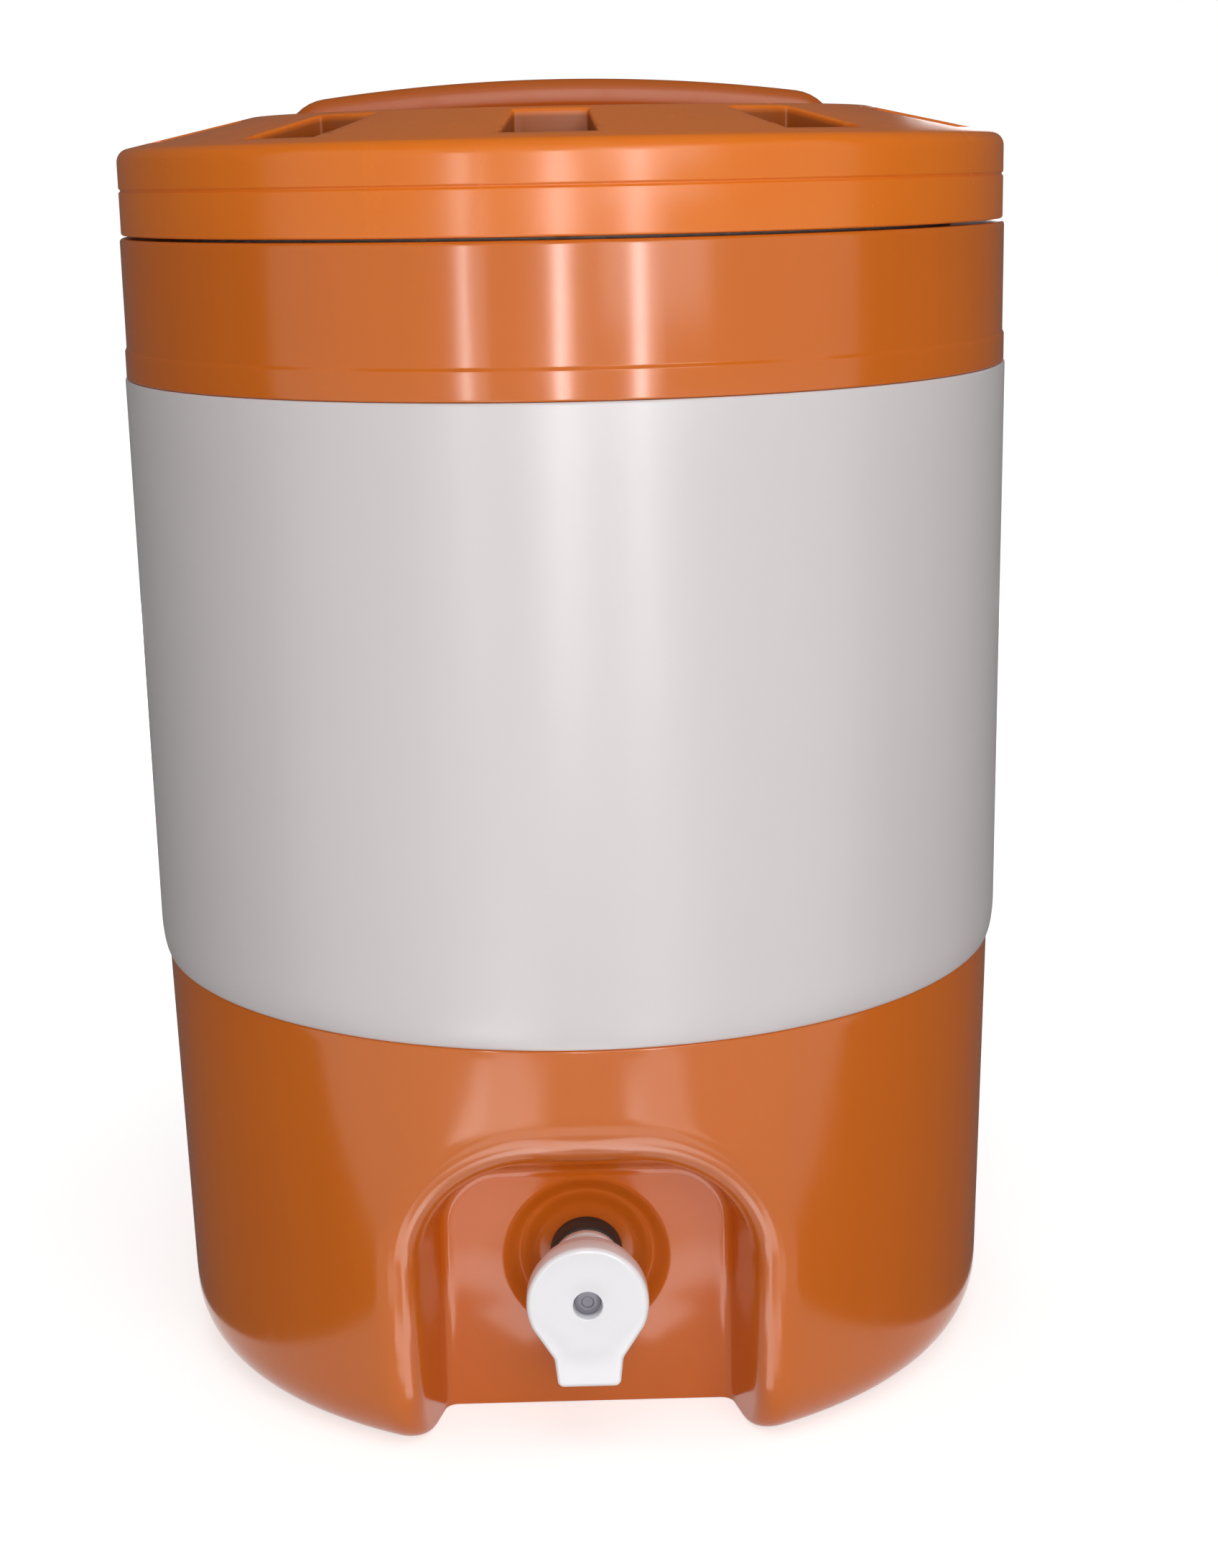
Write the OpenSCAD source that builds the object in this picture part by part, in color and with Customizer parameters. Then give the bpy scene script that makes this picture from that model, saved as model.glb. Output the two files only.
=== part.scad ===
// Insulated beverage dispenser: a foam-walled jug with a lift-off lid and a quarter-turn tap.
// The jug's axis is Z, it stands on z = 0 and the tap faces -Y. Sizes are in millimetres.

/* [Body band] */
// Outside radius of the band at its top edge
band_top_r = 166.7; // [155:0.1:180]
// How much narrower the band is above its lower edge
band_taper = 1; // [0:0.1:3]
// Height of the band
band_h = 221; // [180:1:280]
// Height over which the lower edge rounds in
band_tuck_h = 14; // [6:1:24]
// Width of the flange that seats on the base
band_flange_w = 8.5; // [6:0.1:12]
// Wall of the base, band, collar and lid
shell_wall = 3; // [2:0.1:3.6]

/* [Base] */
// Height of the base
base_h = 160; // [148:1:200]
// How far the top edge of the base lies inside the band
base_step = 2.5; // [1:0.1:4]
// How much narrower the base is at its foot
base_taper = 2.9; // [0:0.1:5]
// Rounding of the foot
foot_edge_r = 16; // [8:1:20]
// Width of the flat ring that the jug stands on
foot_ring_w = 6.3; // [4.5:0.1:10]
// Height of the ring that centres the band on the base
spigot_h = 10; // [5:0.5:16]
// Height of the base plate above the floor
plate_recess = 9; // [5:0.5:12]
// Thickness of the base plate
plate_t = 3; // [2:0.1:4]
// Width of the ledge that the base plate is screwed to
ledge_w = 18; // [15:0.5:22]

/* [Niche] */
// Depth of the back wall behind the foot's outside radius
niche_depth = 53.3; // [48.5:0.1:58]
// Width of the back wall
niche_back_w = 107; // [90:1:112]
// Height of the back wall
niche_back_h = 95; // [91:0.5:98]
// Rounding of the back wall's top corners
niche_back_corner = 22; // [12:1:30]
// Rounding of the top corners where the niche leaves the base
niche_mouth_corner = 58; // [30:1:62]
// Draft of the side walls in degrees
niche_side_draft = 17; // [10:1:28]
// Draft of the roof in degrees
niche_roof_draft = 26; // [15:1:32]
// Radius of the dish round the tap
dish_r = 31; // [28:0.5:33]
// Radius of the flat floor of the dish
dish_floor_r = 22; // [18:0.5:25]
// Depth of the dish
dish_depth = 6; // [3:0.5:8]

/* [Tank] */
// Least thickness of the foam between tank and base
foam_t = 24; // [20:0.5:30]
// Thickness of the foam behind the niche
front_foam = 14; // [11:0.5:18]
// Wall of the tank
tank_wall = 2.5; // [1.5:0.1:3.5]
// How much narrower the tank is at its floor
tank_draft = 2; // [0:0.1:5]
// Height of the tank's floor above the ground
tank_floor_z = 38; // [34:0.5:41]
// Rounding of the floor's edge inside the tank
tank_corner_r = 12; // [6:0.5:20]
// Width of the flange at the tank's mouth
tank_flange_w = 12.7; // [10:0.1:14]

/* [Collar] */
// Height of the collar
collar_h = 51; // [44:1:70]
// How far the collar's wall lies inside the band
collar_step = 1.1; // [0.5:0.1:2]
// Height of the bead at the collar's lower edge
bead_h = 10; // [4:0.5:16]
// How far the bead stands proud
bead_proud = 0.6; // [0.2:0.1:1]
// Rounding of the collar's upper edge
collar_edge_r = 3; // [1.5:0.1:4]
// Depth of the tongue that centres the collar in the band
tongue_h = 10; // [6:0.5:16]

/* [Lid] */
// How far the lid's side wall lies inside the collar
lid_step = 0.6; // [0:0.1:2]
// Height of the shadow gap under the lid
lid_seam = 1; // [0.5:0.1:2]
// Height of the lid's side wall
lid_side_h = 31; // [28:0.5:40]
// Rounding of the rim
lid_edge_r = 5; // [4:0.5:8]
// Width of the sloping ring between rim and shoulder
dome_w = 52; // [46:0.5:58]
// Rise of the sloping ring
dome_rise = 10.5; // [8:0.5:16]
// Rounding of the shoulder above the finger well
shoulder_edge_r = 3; // [1.5:0.1:4]
// Depth of the finger well below the shoulder
well_depth = 27.5; // [22:0.5:29]
// How much narrower the well is at its floor
well_draft = 3.5; // [1:0.5:6]
// Height of the groove line above the lid's lower edge
groove_up = 16; // [8:0.5:22]
// Width of the groove line
groove_w = 1.6; // [0.8:0.1:2.4]
// Depth of the groove line
groove_depth = 0.8; // [0.3:0.1:1]
// Number of grip notches round the sloping ring
notch_count = 10; // [4:1:12]
// Width of a grip notch
notch_w = 28; // [18:1:36]
// Distance of the notches from the shoulder
notch_in = 6; // [5:0.5:12]
// Distance of the notches from the rim
notch_out = 11; // [9:0.5:16]
// Height of a notch's floor above the rim
notch_up = 1; // [0.5:0.1:3]
// Turn of the notches from the front in degrees
notch_turn = -1.5; // [-18:0.5:18]

/* [Lid inside] */
// Depth of the plug that enters the tank
plug_depth = 28; // [22:0.5:40]
// Gap between the plug and the tank
plug_gap = 2.5; // [1.5:0.1:3.5]
// Wall of the plug
plug_wall = 5; // [4.8:0.1:7]
// Wall of the liner's flange and floor
liner_wall = 2.5; // [2:0.1:3]
// Radius of the seal's round section
seal_r = 2.4; // [2:0.1:2.8]
// Distance of the seal below the liner's flange
seal_drop = 10; // [6:0.5:14]

/* [Lid handle] */
// Width of the handle
handle_w = 36; // [28:1:44]
// Thickness of the handle
handle_t = 12; // [9:0.5:14]
// Height of the handle's crown above the shoulder
handle_rise = 11.5; // [8:0.5:18]
// Radius of the crown seen from the front
handle_crown_r = 680; // [500:10:1200]
// Outer rounding of the handle's ends
handle_corner_r = 18; // [15:0.5:24]
// Distance between the two screws in one leg
handle_screw_gap = 18; // [12:1:22]

/* [Tap] */
// Height of the tap's axis above the floor
tap_z = 59; // [56:0.5:60]
// Radius of the threaded shank
shank_r = 10; // [9.5:0.1:10.3]
// Radius of the waterway in the shank
waterway_r = 6.5; // [5.5:0.1:6.8]
// Length of the shank beyond its nut
shank_over = 6; // [3:0.5:10]
// Radius of the rubber grommet
grommet_r = 13.5; // [13:0.1:16]
// Thickness of the rubber grommet
grommet_t = 11; // [8:0.5:12]
// Radius of the flange that presses on the grommet
tap_flange_r = 12.8; // [11.5:0.1:13]
// Thickness of the flange
tap_flange_t = 3; // [2:0.1:4]
// Outside radius of the valve barrel
barrel_r = 11; // [10.2:0.1:11.4]
// Length of the barrel in front of the flange
barrel_len = 19; // [18:0.5:22]
// Radius of the turning plug
valve_r = 7.9; // [7.4:0.1:8.2]
// Radius of the bore in the plug
valve_bore_r = 4.2; // [3:0.1:4.6]
// Radius of the plug's side port
port_r = 4; // [3:0.1:4.4]
// Distance of the waterway's end behind the barrel
valve_back = 4.8; // [4.4:0.1:6]
// Thickness of the seat between waterway and plug
seat_t = 2; // [1.8:0.1:2.4]
// Radius of the port through the seat
seat_port_r = 4.2; // [3.6:0.1:4.6]
// Width of the ribs that cross the port and keep ice out of the valve
seat_rib_w = 1.6; // [1.4:0.1:2]
// Thickness of the ring that retains the plug
ring_t = 4; // [3:0.1:4.5]
// Distance of the spout's axis in front of the flange
spout_ahead = 6.5; // [6:0.1:7.5]
// Outside radius of the spout
spout_r = 7.5; // [6.5:0.1:8.5]
// Radius of the spout's bore
spout_bore_r = 5; // [4:0.1:5.5]
// Length of the spout below the tap's axis
spout_drop = 33; // [24:0.5:40]
// Radius of the O-rings' round section
oring_r = 1; // [0.8:0.05:1.1]
// Distance of the O-rings from the spout's axis
oring_away = 6.4; // [5.9:0.1:6.6]
// Thickness of the rubber washer in the tank
washer_t = 2; // [1.5:0.1:3]
// Radius of the rubber washer in the tank
washer_r = 15; // [13:0.5:15.5]
// Thickness of the nut in the tank
nut_t = 9; // [7:0.5:12]
// Radius of the nut over its corners
nut_r = 16; // [14.5:0.5:16.5]
// Wall of the spacer sleeve in the foam
sleeve_wall = 2.6; // [2:0.1:4]

/* [Tap lever] */
// Radius of the lever's round head
lever_head_r = 22; // [18:0.5:25]
// Thickness of the head
lever_t = 15.6; // [14:0.1:18]
// Length of the lever from its axis to its tip
lever_len = 32; // [28:0.5:38]
// Thickness of the lever's tab
tab_t = 10; // [8:0.5:12]
// Width of the tab below the head
tab_neck_w = 25; // [20:0.5:28]
// Width of the tab at its tip
tab_tip_w = 22.5; // [18:0.5:26]
// Distance from the lever's axis to the neck
tab_neck_at = 21; // [19:0.5:24]
// Angle below the head's middle where the tab leaves it in degrees
tab_leave = 25; // [15:1:40]
// Radius of the plug's stem in the lever
stem_r = 5; // [4.4:0.1:5.4]
// Half width across the stem's flats
stem_flat = 4; // [3.4:0.1:4.2]
// Depth of the round recess in front of the screw
recess_depth = 5; // [4:0.1:6]
// Thickness of the web between recess and stem
web_t = 2; // [1.5:0.1:2.5]
// Radius of the lever screw's thread
lever_screw_r = 1.4; // [1.2:0.05:1.5]
// Radius of the lever screw's head
lever_screw_head_r = 4.9; // [4:0.1:5.4]

/* [Screws] */
// Radius of the screws' thread
screw_r = 1.75; // [1.5:0.05:2]
// Radius of the screws' heads
screw_head_r = 3.4; // [3:0.1:3.8]
// Height of the screws' heads
screw_head_h = 2.2; // [1.6:0.1:2.4]
// Length of the screws' threads
screw_len = 11; // [9:0.5:13]
// Radius of the bosses that take the screws
boss_r = 4.6; // [4:0.1:5]
// Material of a boss past the screw's end
boss_over = 3; // [2:0.5:5]
// Number of lid screws
lid_screw_count = 6; // [4:1:8]

/* [Fits] */
// Gap between shells and pieces that are fixed to each other
fit_gap = 0.3; // [0.2:0.05:0.4]
// Radial clearance of the turning plug and its seals
run_gap = 0.1; // [0.05:0.01:0.15]
// Radial clearance of holes that a shank or screw passes
hole_gap = 0.4; // [0.2:0.05:0.6]

/* [Hidden] */
$fn = 96;

// Allowances for cuts: slice is a thin section, past is how far a cut runs beyond a face
slice = 0.1;
past = 5;
hull_fn = 32;
arc_steps = 6;

// Colours
orange = "#d8752e";
off_white = "#e4dfdc";
tap_white = "#f1f0f2";
tank_white = "#e9ecec";
rubber_black = "#1b1a1a";
foam_cream = "#eadfae";
steel = "#b9bbbe";
screw_grey = "#77747f";

// Outside radii from the band outwards and inwards
band_low_r = band_top_r - band_taper;
base_top_r = band_low_r - base_step;
base_foot_r = base_top_r - base_taper;
collar_r = band_top_r - collar_step;
lid_r = collar_r - lid_step;

// Heights from the floor up
band_top_z = base_h + band_h;
deck_z = band_top_z + collar_h;
tank_top_z = deck_z + tank_wall;
lid_low_z = deck_z + lid_seam;
rim_z = lid_low_z + lid_side_h;
shoulder_z = rim_z + dome_rise;
well_z = shoulder_z - well_depth;
notch_z = rim_z + notch_up;
crown_z = shoulder_z + handle_rise;

// Base
foot_flat_r = base_foot_r - foot_edge_r;
foot_in_r = foot_flat_r - foot_ring_w;
ledge_z = plate_recess + plate_t;
ledge_top_z = ledge_z + shell_wall;
ledge_in_r = foot_in_r - ledge_w;
flange_in_r = base_top_r - band_flange_w;
spigot_out_r = flange_in_r - fit_gap;
spigot_in_r = spigot_out_r - shell_wall;
base_screw_r = foot_in_r - ledge_w / 2;
base_screw_angles = [-30, 30, 90, 150, 210];
boss_h = screw_len + boss_over;

// Tank and foam
tank_top_r = base_foot_r - shell_wall - foam_t;
tank_low_r = tank_top_r - tank_draft;
tank_mouth_r = tank_top_r - tank_wall;
tank_flange_r = tank_mouth_r + tank_wall + tank_flange_w;
tank_low_z = tank_floor_z - tank_wall;
tank_out_corner_r = tank_corner_r + tank_wall;
tank_from_niche = shell_wall + front_foam;
tongue_out_r = band_top_r - shell_wall - fit_gap;
tongue_in_r = tongue_out_r - shell_wall;

// Lid
lid_in_r = lid_r - shell_wall;
shoulder_r = lid_r - dome_w;
well_top_r = shoulder_r - shoulder_edge_r;
well_floor_r = well_top_r - well_draft;
notch_in_r = shoulder_r + notch_in;
notch_out_r = lid_r - notch_out;
liner_z = tank_top_z + fit_gap;
liner_top_z = liner_z + liner_wall;
plug_r = tank_mouth_r - plug_gap;
plug_in_r = plug_r - plug_wall;
plug_low_z = liner_z - plug_depth;
plug_chamfer = plug_gap;
seal_z = liner_z - seal_drop;
seal_ring_r = tank_mouth_r - fit_gap - seal_r;
lid_screw_ring_r = (tank_flange_r + lid_in_r) / 2;
lid_screw_step = 360 / lid_screw_count;

// Handle: its legs stand inside the well
handle_half = sqrt(pow(well_floor_r - fit_gap - well_draft / 2, 2) - pow(handle_w / 2, 2));
handle_tilt = asin((handle_half - handle_corner_r) / (handle_crown_r - handle_corner_r));
handle_leg_x = handle_half - handle_t / 2;

// Tap, as distances in front of the jug's axis
niche_back = base_foot_r - niche_depth;
dish_d = niche_back - dish_depth;
dish_rear_d = dish_d - shell_wall;
tank_d = niche_back - tank_from_niche;
tank_in_d = tank_d - tank_wall;
nut_d = tank_in_d - washer_t - nut_t;
shank_end_d = nut_d - shank_over;
flange_d = dish_d + grommet_t;
barrel_d = flange_d + tap_flange_t;
barrel_end_d = barrel_d + barrel_len;
waterway_end_d = barrel_d - valve_back;
valve_seat_d = waterway_end_d + seat_t;
spout_d = barrel_d + spout_ahead;
ring_d = barrel_end_d - ring_t;
lever_d = barrel_end_d + fit_gap;
lever_front_d = lever_d + lever_t;
recess_d = lever_front_d - recess_depth;
stem_end_d = recess_d - web_t;
valve_rear_d = valve_seat_d + fit_gap;
valve_front_d = ring_d - fit_gap;
valve_hole_r = valve_r + run_gap;
shank_hole_r = shank_r + hole_gap;
oring_ring_r = valve_hole_r - run_gap / 2 - oring_r;
oring_groove_w = 2 * oring_r + 2 * run_gap;
lever_screw_len = stem_end_d - ring_d;

function arc(centre, r, from, to) =
    [for (i = [0:arc_steps])
        let (a = from + (to - from) * i / arc_steps)
        [centre[0] + r * cos(a), centre[1] + r * sin(a)]];

// Turns a front-facing piece onto the tap's axis, with its +Z towards -Y
module on_tap_axis() { translate([0, 0, tap_z]) rotate([90, 0, 0]) children(); }

// A disc on the tap's axis between two distances from the jug's axis
module tap_disc(from, to, r) { translate([0, 0, from]) cylinder(r = r, h = to - from); }

// One upright section of the niche, rounded at its two top corners
module niche_section(d, half_w, top, corner) {
    for (side = [-1, 1])
        translate([side * (half_w - corner), -d, top - corner])
            rotate([90, 0, 0]) cylinder(r = corner, h = slice, $fn = hull_fn);
    translate([-half_w, -d - slice, -past]) cube([2 * half_w, slice, 2 * past]);
}

// The niche's space, or that space with its walls moved outwards by grow
module niche_form(grow = 0) {
    mouth_d = base_top_r + past;
    depth = mouth_d - niche_back;
    side_shift = grow / cos(niche_side_draft);
    roof_shift = grow / cos(niche_roof_draft);
    hull() {
        niche_section(mouth_d, niche_back_w / 2 + depth * tan(niche_side_draft) + side_shift,
                      niche_back_h + depth * tan(niche_roof_draft) + roof_shift,
                      niche_mouth_corner + grow);
        niche_section(niche_back - grow,
                      niche_back_w / 2 + side_shift - grow * tan(niche_side_draft),
                      niche_back_h + roof_shift - grow * tan(niche_roof_draft),
                      niche_back_corner + grow);
    }
}

// A pan-head screw standing on its head's seat, with its thread towards +Z
module pan_screw(r, length, head_r, head_h) {
    cylinder(r = r, h = length);
    translate([0, 0, -head_h]) cylinder(r1 = head_r - head_h / 2, r2 = head_r, h = head_h / 2);
    translate([0, 0, -head_h / 2]) cylinder(r = head_r, h = head_h / 2);
}

module at_base_screws(z) {
    for (a = base_screw_angles) rotate([0, 0, a]) translate([base_screw_r, 0, z]) children();
}

module at_lid_screws(z) {
    for (i = [1:lid_screw_count])
        rotate([0, 0, (i - 0.5) * lid_screw_step]) translate([lid_screw_ring_r, 0, z]) children();
}

module at_handle_screws(z) {
    for (x = [-handle_leg_x, handle_leg_x], y = [-handle_screw_gap / 2, handle_screw_gap / 2])
        translate([x, y, z]) children();
}

function base_outline(inset) = concat(
    arc([foot_flat_r, foot_edge_r], foot_edge_r - inset, 270, 360),
    [[base_top_r - inset, base_h - inset]]);

module base_form() {
    rotate_extrude() polygon(concat([[0, 0]], base_outline(0), [[0, base_h]]));
}

module base_wall_form() {
    inner = base_outline(shell_wall);
    rotate_extrude() polygon(concat(
        [[foot_in_r, 0]], base_outline(0),
        [[spigot_out_r, base_h], [spigot_out_r, base_h + spigot_h], [spigot_in_r, base_h + spigot_h],
         [spigot_in_r, base_h - shell_wall]],
        [for (i = [len(inner) - 1:-1:0]) inner[i]],
        [[foot_in_r + shell_wall, shell_wall], [foot_in_r + shell_wall, ledge_top_z],
         [ledge_in_r, ledge_top_z], [ledge_in_r, ledge_z], [foot_in_r, ledge_z]]));
}

module base_shell() {
    color(orange) difference() {
        union() {
            base_wall_form();
            at_base_screws(ledge_z) cylinder(r = boss_r, h = boss_h);
            intersection() { niche_form(shell_wall); base_form(); }
            on_tap_axis() translate([0, 0, dish_rear_d])
                cylinder(r1 = dish_floor_r + shell_wall, r2 = dish_r + shell_wall, h = dish_depth);
        }
        niche_form();
        on_tap_axis() translate([0, 0, dish_d])
            cylinder(r1 = dish_floor_r, r2 = dish_r, h = dish_depth + slice);
        on_tap_axis() tap_disc(dish_rear_d - past, dish_d + past, shank_hole_r);
        at_base_screws(ledge_z - slice) cylinder(r = screw_r, h = screw_len + slice);
    }
}

module base_plate() {
    color(orange) difference() {
        translate([0, 0, plate_recess]) cylinder(r = foot_in_r - fit_gap, h = plate_t);
        niche_form(shell_wall + fit_gap);
        at_base_screws(plate_recess - slice) cylinder(r = screw_r + hole_gap, h = plate_t + past);
    }
}

module base_screws() {
    color(steel) at_base_screws(plate_recess)
        pan_screw(screw_r, screw_len, screw_head_r, screw_head_h);
}

module body_band() {
    color(off_white) rotate_extrude() polygon(concat(
        [[flange_in_r, base_h]],
        [for (i = [0:arc_steps])
            let (a = 90 * i / arc_steps)
            [base_top_r + base_step * sin(a), base_h + band_tuck_h * (1 - cos(a))]],
        [[band_top_r, band_top_z], [band_top_r - shell_wall, band_top_z],
         [band_low_r - shell_wall, base_h + band_tuck_h], [base_top_r - shell_wall, base_h + shell_wall],
         [flange_in_r, base_h + shell_wall]]));
}

module collar() {
    bead_r = collar_r + bead_proud;
    color(orange) rotate_extrude() polygon(concat(
        [[tongue_in_r, band_top_z - tongue_h], [tongue_out_r, band_top_z - tongue_h],
         [tongue_out_r, band_top_z], [bead_r, band_top_z], [bead_r, band_top_z + bead_h],
         [collar_r, band_top_z + bead_h + bead_proud]],
        arc([collar_r - collar_edge_r, deck_z - collar_edge_r], collar_edge_r, 0, 90),
        [[tank_top_r + fit_gap, deck_z], [tank_top_r + fit_gap, deck_z - shell_wall],
         [collar_r - shell_wall - collar_edge_r, deck_z - shell_wall],
         [collar_r - shell_wall, deck_z - shell_wall - collar_edge_r],
         [collar_r - shell_wall, band_top_z + shell_wall], [tongue_in_r, band_top_z]]));
}

// The tank's outer space, or that space made larger by grow
module tank_form(grow = 0) {
    centre = [tank_low_r - tank_out_corner_r, tank_low_z + tank_out_corner_r];
    rotate_extrude() polygon(concat(
        [[0, tank_low_z - grow]], arc(centre, tank_out_corner_r + grow, 270, 360),
        [[tank_top_r + grow, deck_z], [0, deck_z]]));
}

module tank_wall_form() {
    centre = [tank_low_r - tank_out_corner_r, tank_low_z + tank_out_corner_r];
    rotate_extrude() polygon(concat(
        [[0, tank_low_z]], arc(centre, tank_out_corner_r, 270, 360),
        [[tank_top_r, deck_z], [tank_flange_r, deck_z], [tank_flange_r, tank_top_z],
         [tank_mouth_r, tank_top_z], [tank_mouth_r, deck_z]],
        arc(centre, tank_corner_r, 360, 270), [[0, tank_floor_z]]));
}

module inner_tank() {
    color(tank_white) difference() {
        union() {
            tank_wall_form();
            intersection() { niche_form(tank_from_niche + tank_wall); tank_form(); }
        }
        niche_form(tank_from_niche);
        on_tap_axis() tap_disc(tank_in_d - past, tank_d + past, shank_hole_r);
    }
}

module wall_insulation() {
    gap = fit_gap;
    lower_z = base_h - shell_wall - gap;
    upper_z = base_h + max(spigot_h, band_tuck_h) + gap;
    tongue_z = band_top_z - tongue_h - gap;
    band_in_r = band_low_r - shell_wall - gap;
    color(foam_cream) difference() {
        rotate_extrude() polygon(concat(
            [[0, ledge_z + gap], [ledge_in_r - gap, ledge_z + gap], [ledge_in_r - gap, ledge_top_z + gap],
             [foot_in_r + shell_wall + gap, ledge_top_z + gap],
             [foot_in_r + shell_wall + gap, shell_wall + gap]],
            arc([foot_flat_r, foot_edge_r], foot_edge_r - shell_wall - gap, 270, 360),
            [[base_top_r - shell_wall - gap, lower_z], [spigot_in_r - gap, lower_z],
             [spigot_in_r - gap, upper_z], [band_in_r, upper_z],
             [band_in_r, tongue_z], [tongue_in_r - gap, tongue_z],
             [tongue_in_r - gap, deck_z - shell_wall - collar_edge_r - gap],
             [tongue_in_r - gap - collar_edge_r, deck_z - shell_wall - gap],
             [0, deck_z - shell_wall - gap]]));
        difference() { tank_form(gap); niche_form(tank_from_niche - gap); }
        niche_form(shell_wall + gap);
        on_tap_axis() translate([0, 0, dish_rear_d - gap])
            cylinder(r1 = dish_floor_r + shell_wall + gap, r2 = dish_r + shell_wall + gap, h = dish_depth);
        on_tap_axis() tap_disc(tank_d - past, dish_d, shank_hole_r + sleeve_wall + gap);
        at_base_screws(ledge_z) cylinder(r = boss_r + gap, h = boss_h + gap);
    }
}

module tap_body() {
    color(tap_white) on_tap_axis() difference() {
        union() {
            tap_disc(shank_end_d, flange_d, shank_r);
            tap_disc(flange_d, barrel_d, tap_flange_r);
            tap_disc(barrel_d, barrel_end_d, barrel_r);
            translate([0, 0, spout_d]) rotate([90, 0, 0]) cylinder(r = spout_r, h = spout_drop);
        }
        tap_disc(valve_seat_d, barrel_end_d + past, valve_hole_r);
        difference() {
            tap_disc(waterway_end_d - past, valve_seat_d + past, seat_port_r);
            for (turn = [0, 90])
                translate([0, 0, waterway_end_d + seat_t / 2]) rotate([0, 0, turn])
                    cube([2 * seat_port_r, seat_rib_w, seat_t], center = true);
        }
        tap_disc(shank_end_d - past, waterway_end_d, waterway_r);
        translate([0, 0, spout_d]) rotate([90, 0, 0]) cylinder(r = spout_bore_r, h = spout_drop + past);
    }
}

module tap_grommet() {
    color(rubber_black) on_tap_axis() difference() {
        tap_disc(dish_d, flange_d, grommet_r);
        tap_disc(dish_d - past, flange_d + past, shank_r + run_gap);
    }
}

module tap_sleeve() {
    color(tap_white) on_tap_axis() difference() {
        tap_disc(tank_d, dish_rear_d, shank_hole_r + sleeve_wall);
        tap_disc(tank_d - past, dish_rear_d + past, shank_hole_r);
    }
}

module tap_back_washer() {
    color(rubber_black) on_tap_axis() difference() {
        tap_disc(tank_in_d - washer_t, tank_in_d, washer_r);
        tap_disc(tank_in_d - past, tank_in_d + past, shank_r + run_gap);
    }
}

module tap_nut() {
    color(tap_white) on_tap_axis() difference() {
        translate([0, 0, nut_d]) cylinder(r = nut_r, h = nut_t, $fn = 6);
        tap_disc(nut_d - past, nut_d + nut_t + past, shank_r + run_gap);
    }
}

module tap_retaining_ring() {
    color(tap_white) on_tap_axis() difference() {
        tap_disc(ring_d, barrel_end_d, valve_hole_r - run_gap / 2);
        tap_disc(ring_d - past, barrel_end_d + past, stem_r + run_gap);
    }
}

// The lid's outside from its lower edge up to the shoulder
lid_outline = concat(
    [[lid_r, lid_low_z], [lid_r, lid_low_z + groove_up - groove_w / 2],
     [lid_r - groove_depth, lid_low_z + groove_up], [lid_r, lid_low_z + groove_up + groove_w / 2]],
    arc([lid_r - lid_edge_r, rim_z - lid_edge_r], lid_edge_r, 0, 90),
    [[shoulder_r, shoulder_z]]);

module lid_form() {
    rotate_extrude() polygon(concat([[0, lid_low_z]], lid_outline, [[0, shoulder_z]]));
}

module lid_wall_form() {
    rotate_extrude() polygon(concat(
        lid_outline, arc([shoulder_r, shoulder_z - shoulder_edge_r], shoulder_edge_r, 90, 180),
        [[well_floor_r, well_z], [0, well_z], [0, well_z - shell_wall],
         [well_floor_r + shell_wall, well_z - shell_wall],
         [well_top_r + shell_wall, shoulder_z - shell_wall - slice],
         [lid_r - lid_edge_r, rim_z - shell_wall], [lid_in_r, rim_z - lid_edge_r], [lid_in_r, lid_low_z]]));
}

// The grip notches' space, or that space with its walls moved outwards by grow
module notches(grow = 0) {
    for (i = [1:notch_count])
        rotate([0, 0, notch_turn - 90 + 360 * i / notch_count])
            translate([notch_in_r - grow, -notch_w / 2 - grow, notch_z - grow])
                cube([notch_out_r - notch_in_r + 2 * grow, notch_w + 2 * grow, dome_rise + past]);
}

module lid_shell() {
    color(orange) difference() {
        union() {
            lid_wall_form();
            intersection() {
                union() {
                    notches(shell_wall);
                    at_lid_screws(liner_top_z) cylinder(r = boss_r, h = shoulder_z - liner_top_z);
                }
                lid_form();
            }
        }
        notches();
        at_lid_screws(liner_top_z - slice) cylinder(r = screw_r, h = screw_len + slice);
        at_handle_screws(well_z - past) cylinder(r = screw_r + hole_gap, h = 2 * past);
    }
}

module lid_handle() {
    crown_centre = [0, crown_z - handle_crown_r];
    corner_x = (handle_crown_r - handle_corner_r) * sin(handle_tilt);
    corner_z = crown_centre[1] + (handle_crown_r - handle_corner_r) * cos(handle_tilt);
    in_crown_r = handle_crown_r - handle_t;
    in_corner_r = handle_corner_r - handle_t;
    color(orange) difference() {
        rotate([90, 0, 0]) linear_extrude(handle_w, center = true) polygon(concat(
            [[handle_half, well_z]], arc([corner_x, corner_z], handle_corner_r, 0, 90 - handle_tilt),
            arc(crown_centre, handle_crown_r, 90 - handle_tilt, 90 + handle_tilt),
            arc([-corner_x, corner_z], handle_corner_r, 90 + handle_tilt, 180),
            [[-handle_half, well_z], [handle_t - handle_half, well_z]],
            arc([-corner_x, corner_z], in_corner_r, 180, 90 + handle_tilt),
            arc(crown_centre, in_crown_r, 90 + handle_tilt, 90 - handle_tilt),
            arc([corner_x, corner_z], in_corner_r, 90 - handle_tilt, 0),
            [[handle_half - handle_t, well_z]]));
        at_handle_screws(well_z - slice) cylinder(r = screw_r, h = screw_len - shell_wall + slice);
    }
}

module handle_screws() {
    color(steel) at_handle_screws(well_z - shell_wall)
        pan_screw(screw_r, screw_len, screw_head_r, screw_head_h);
}

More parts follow.
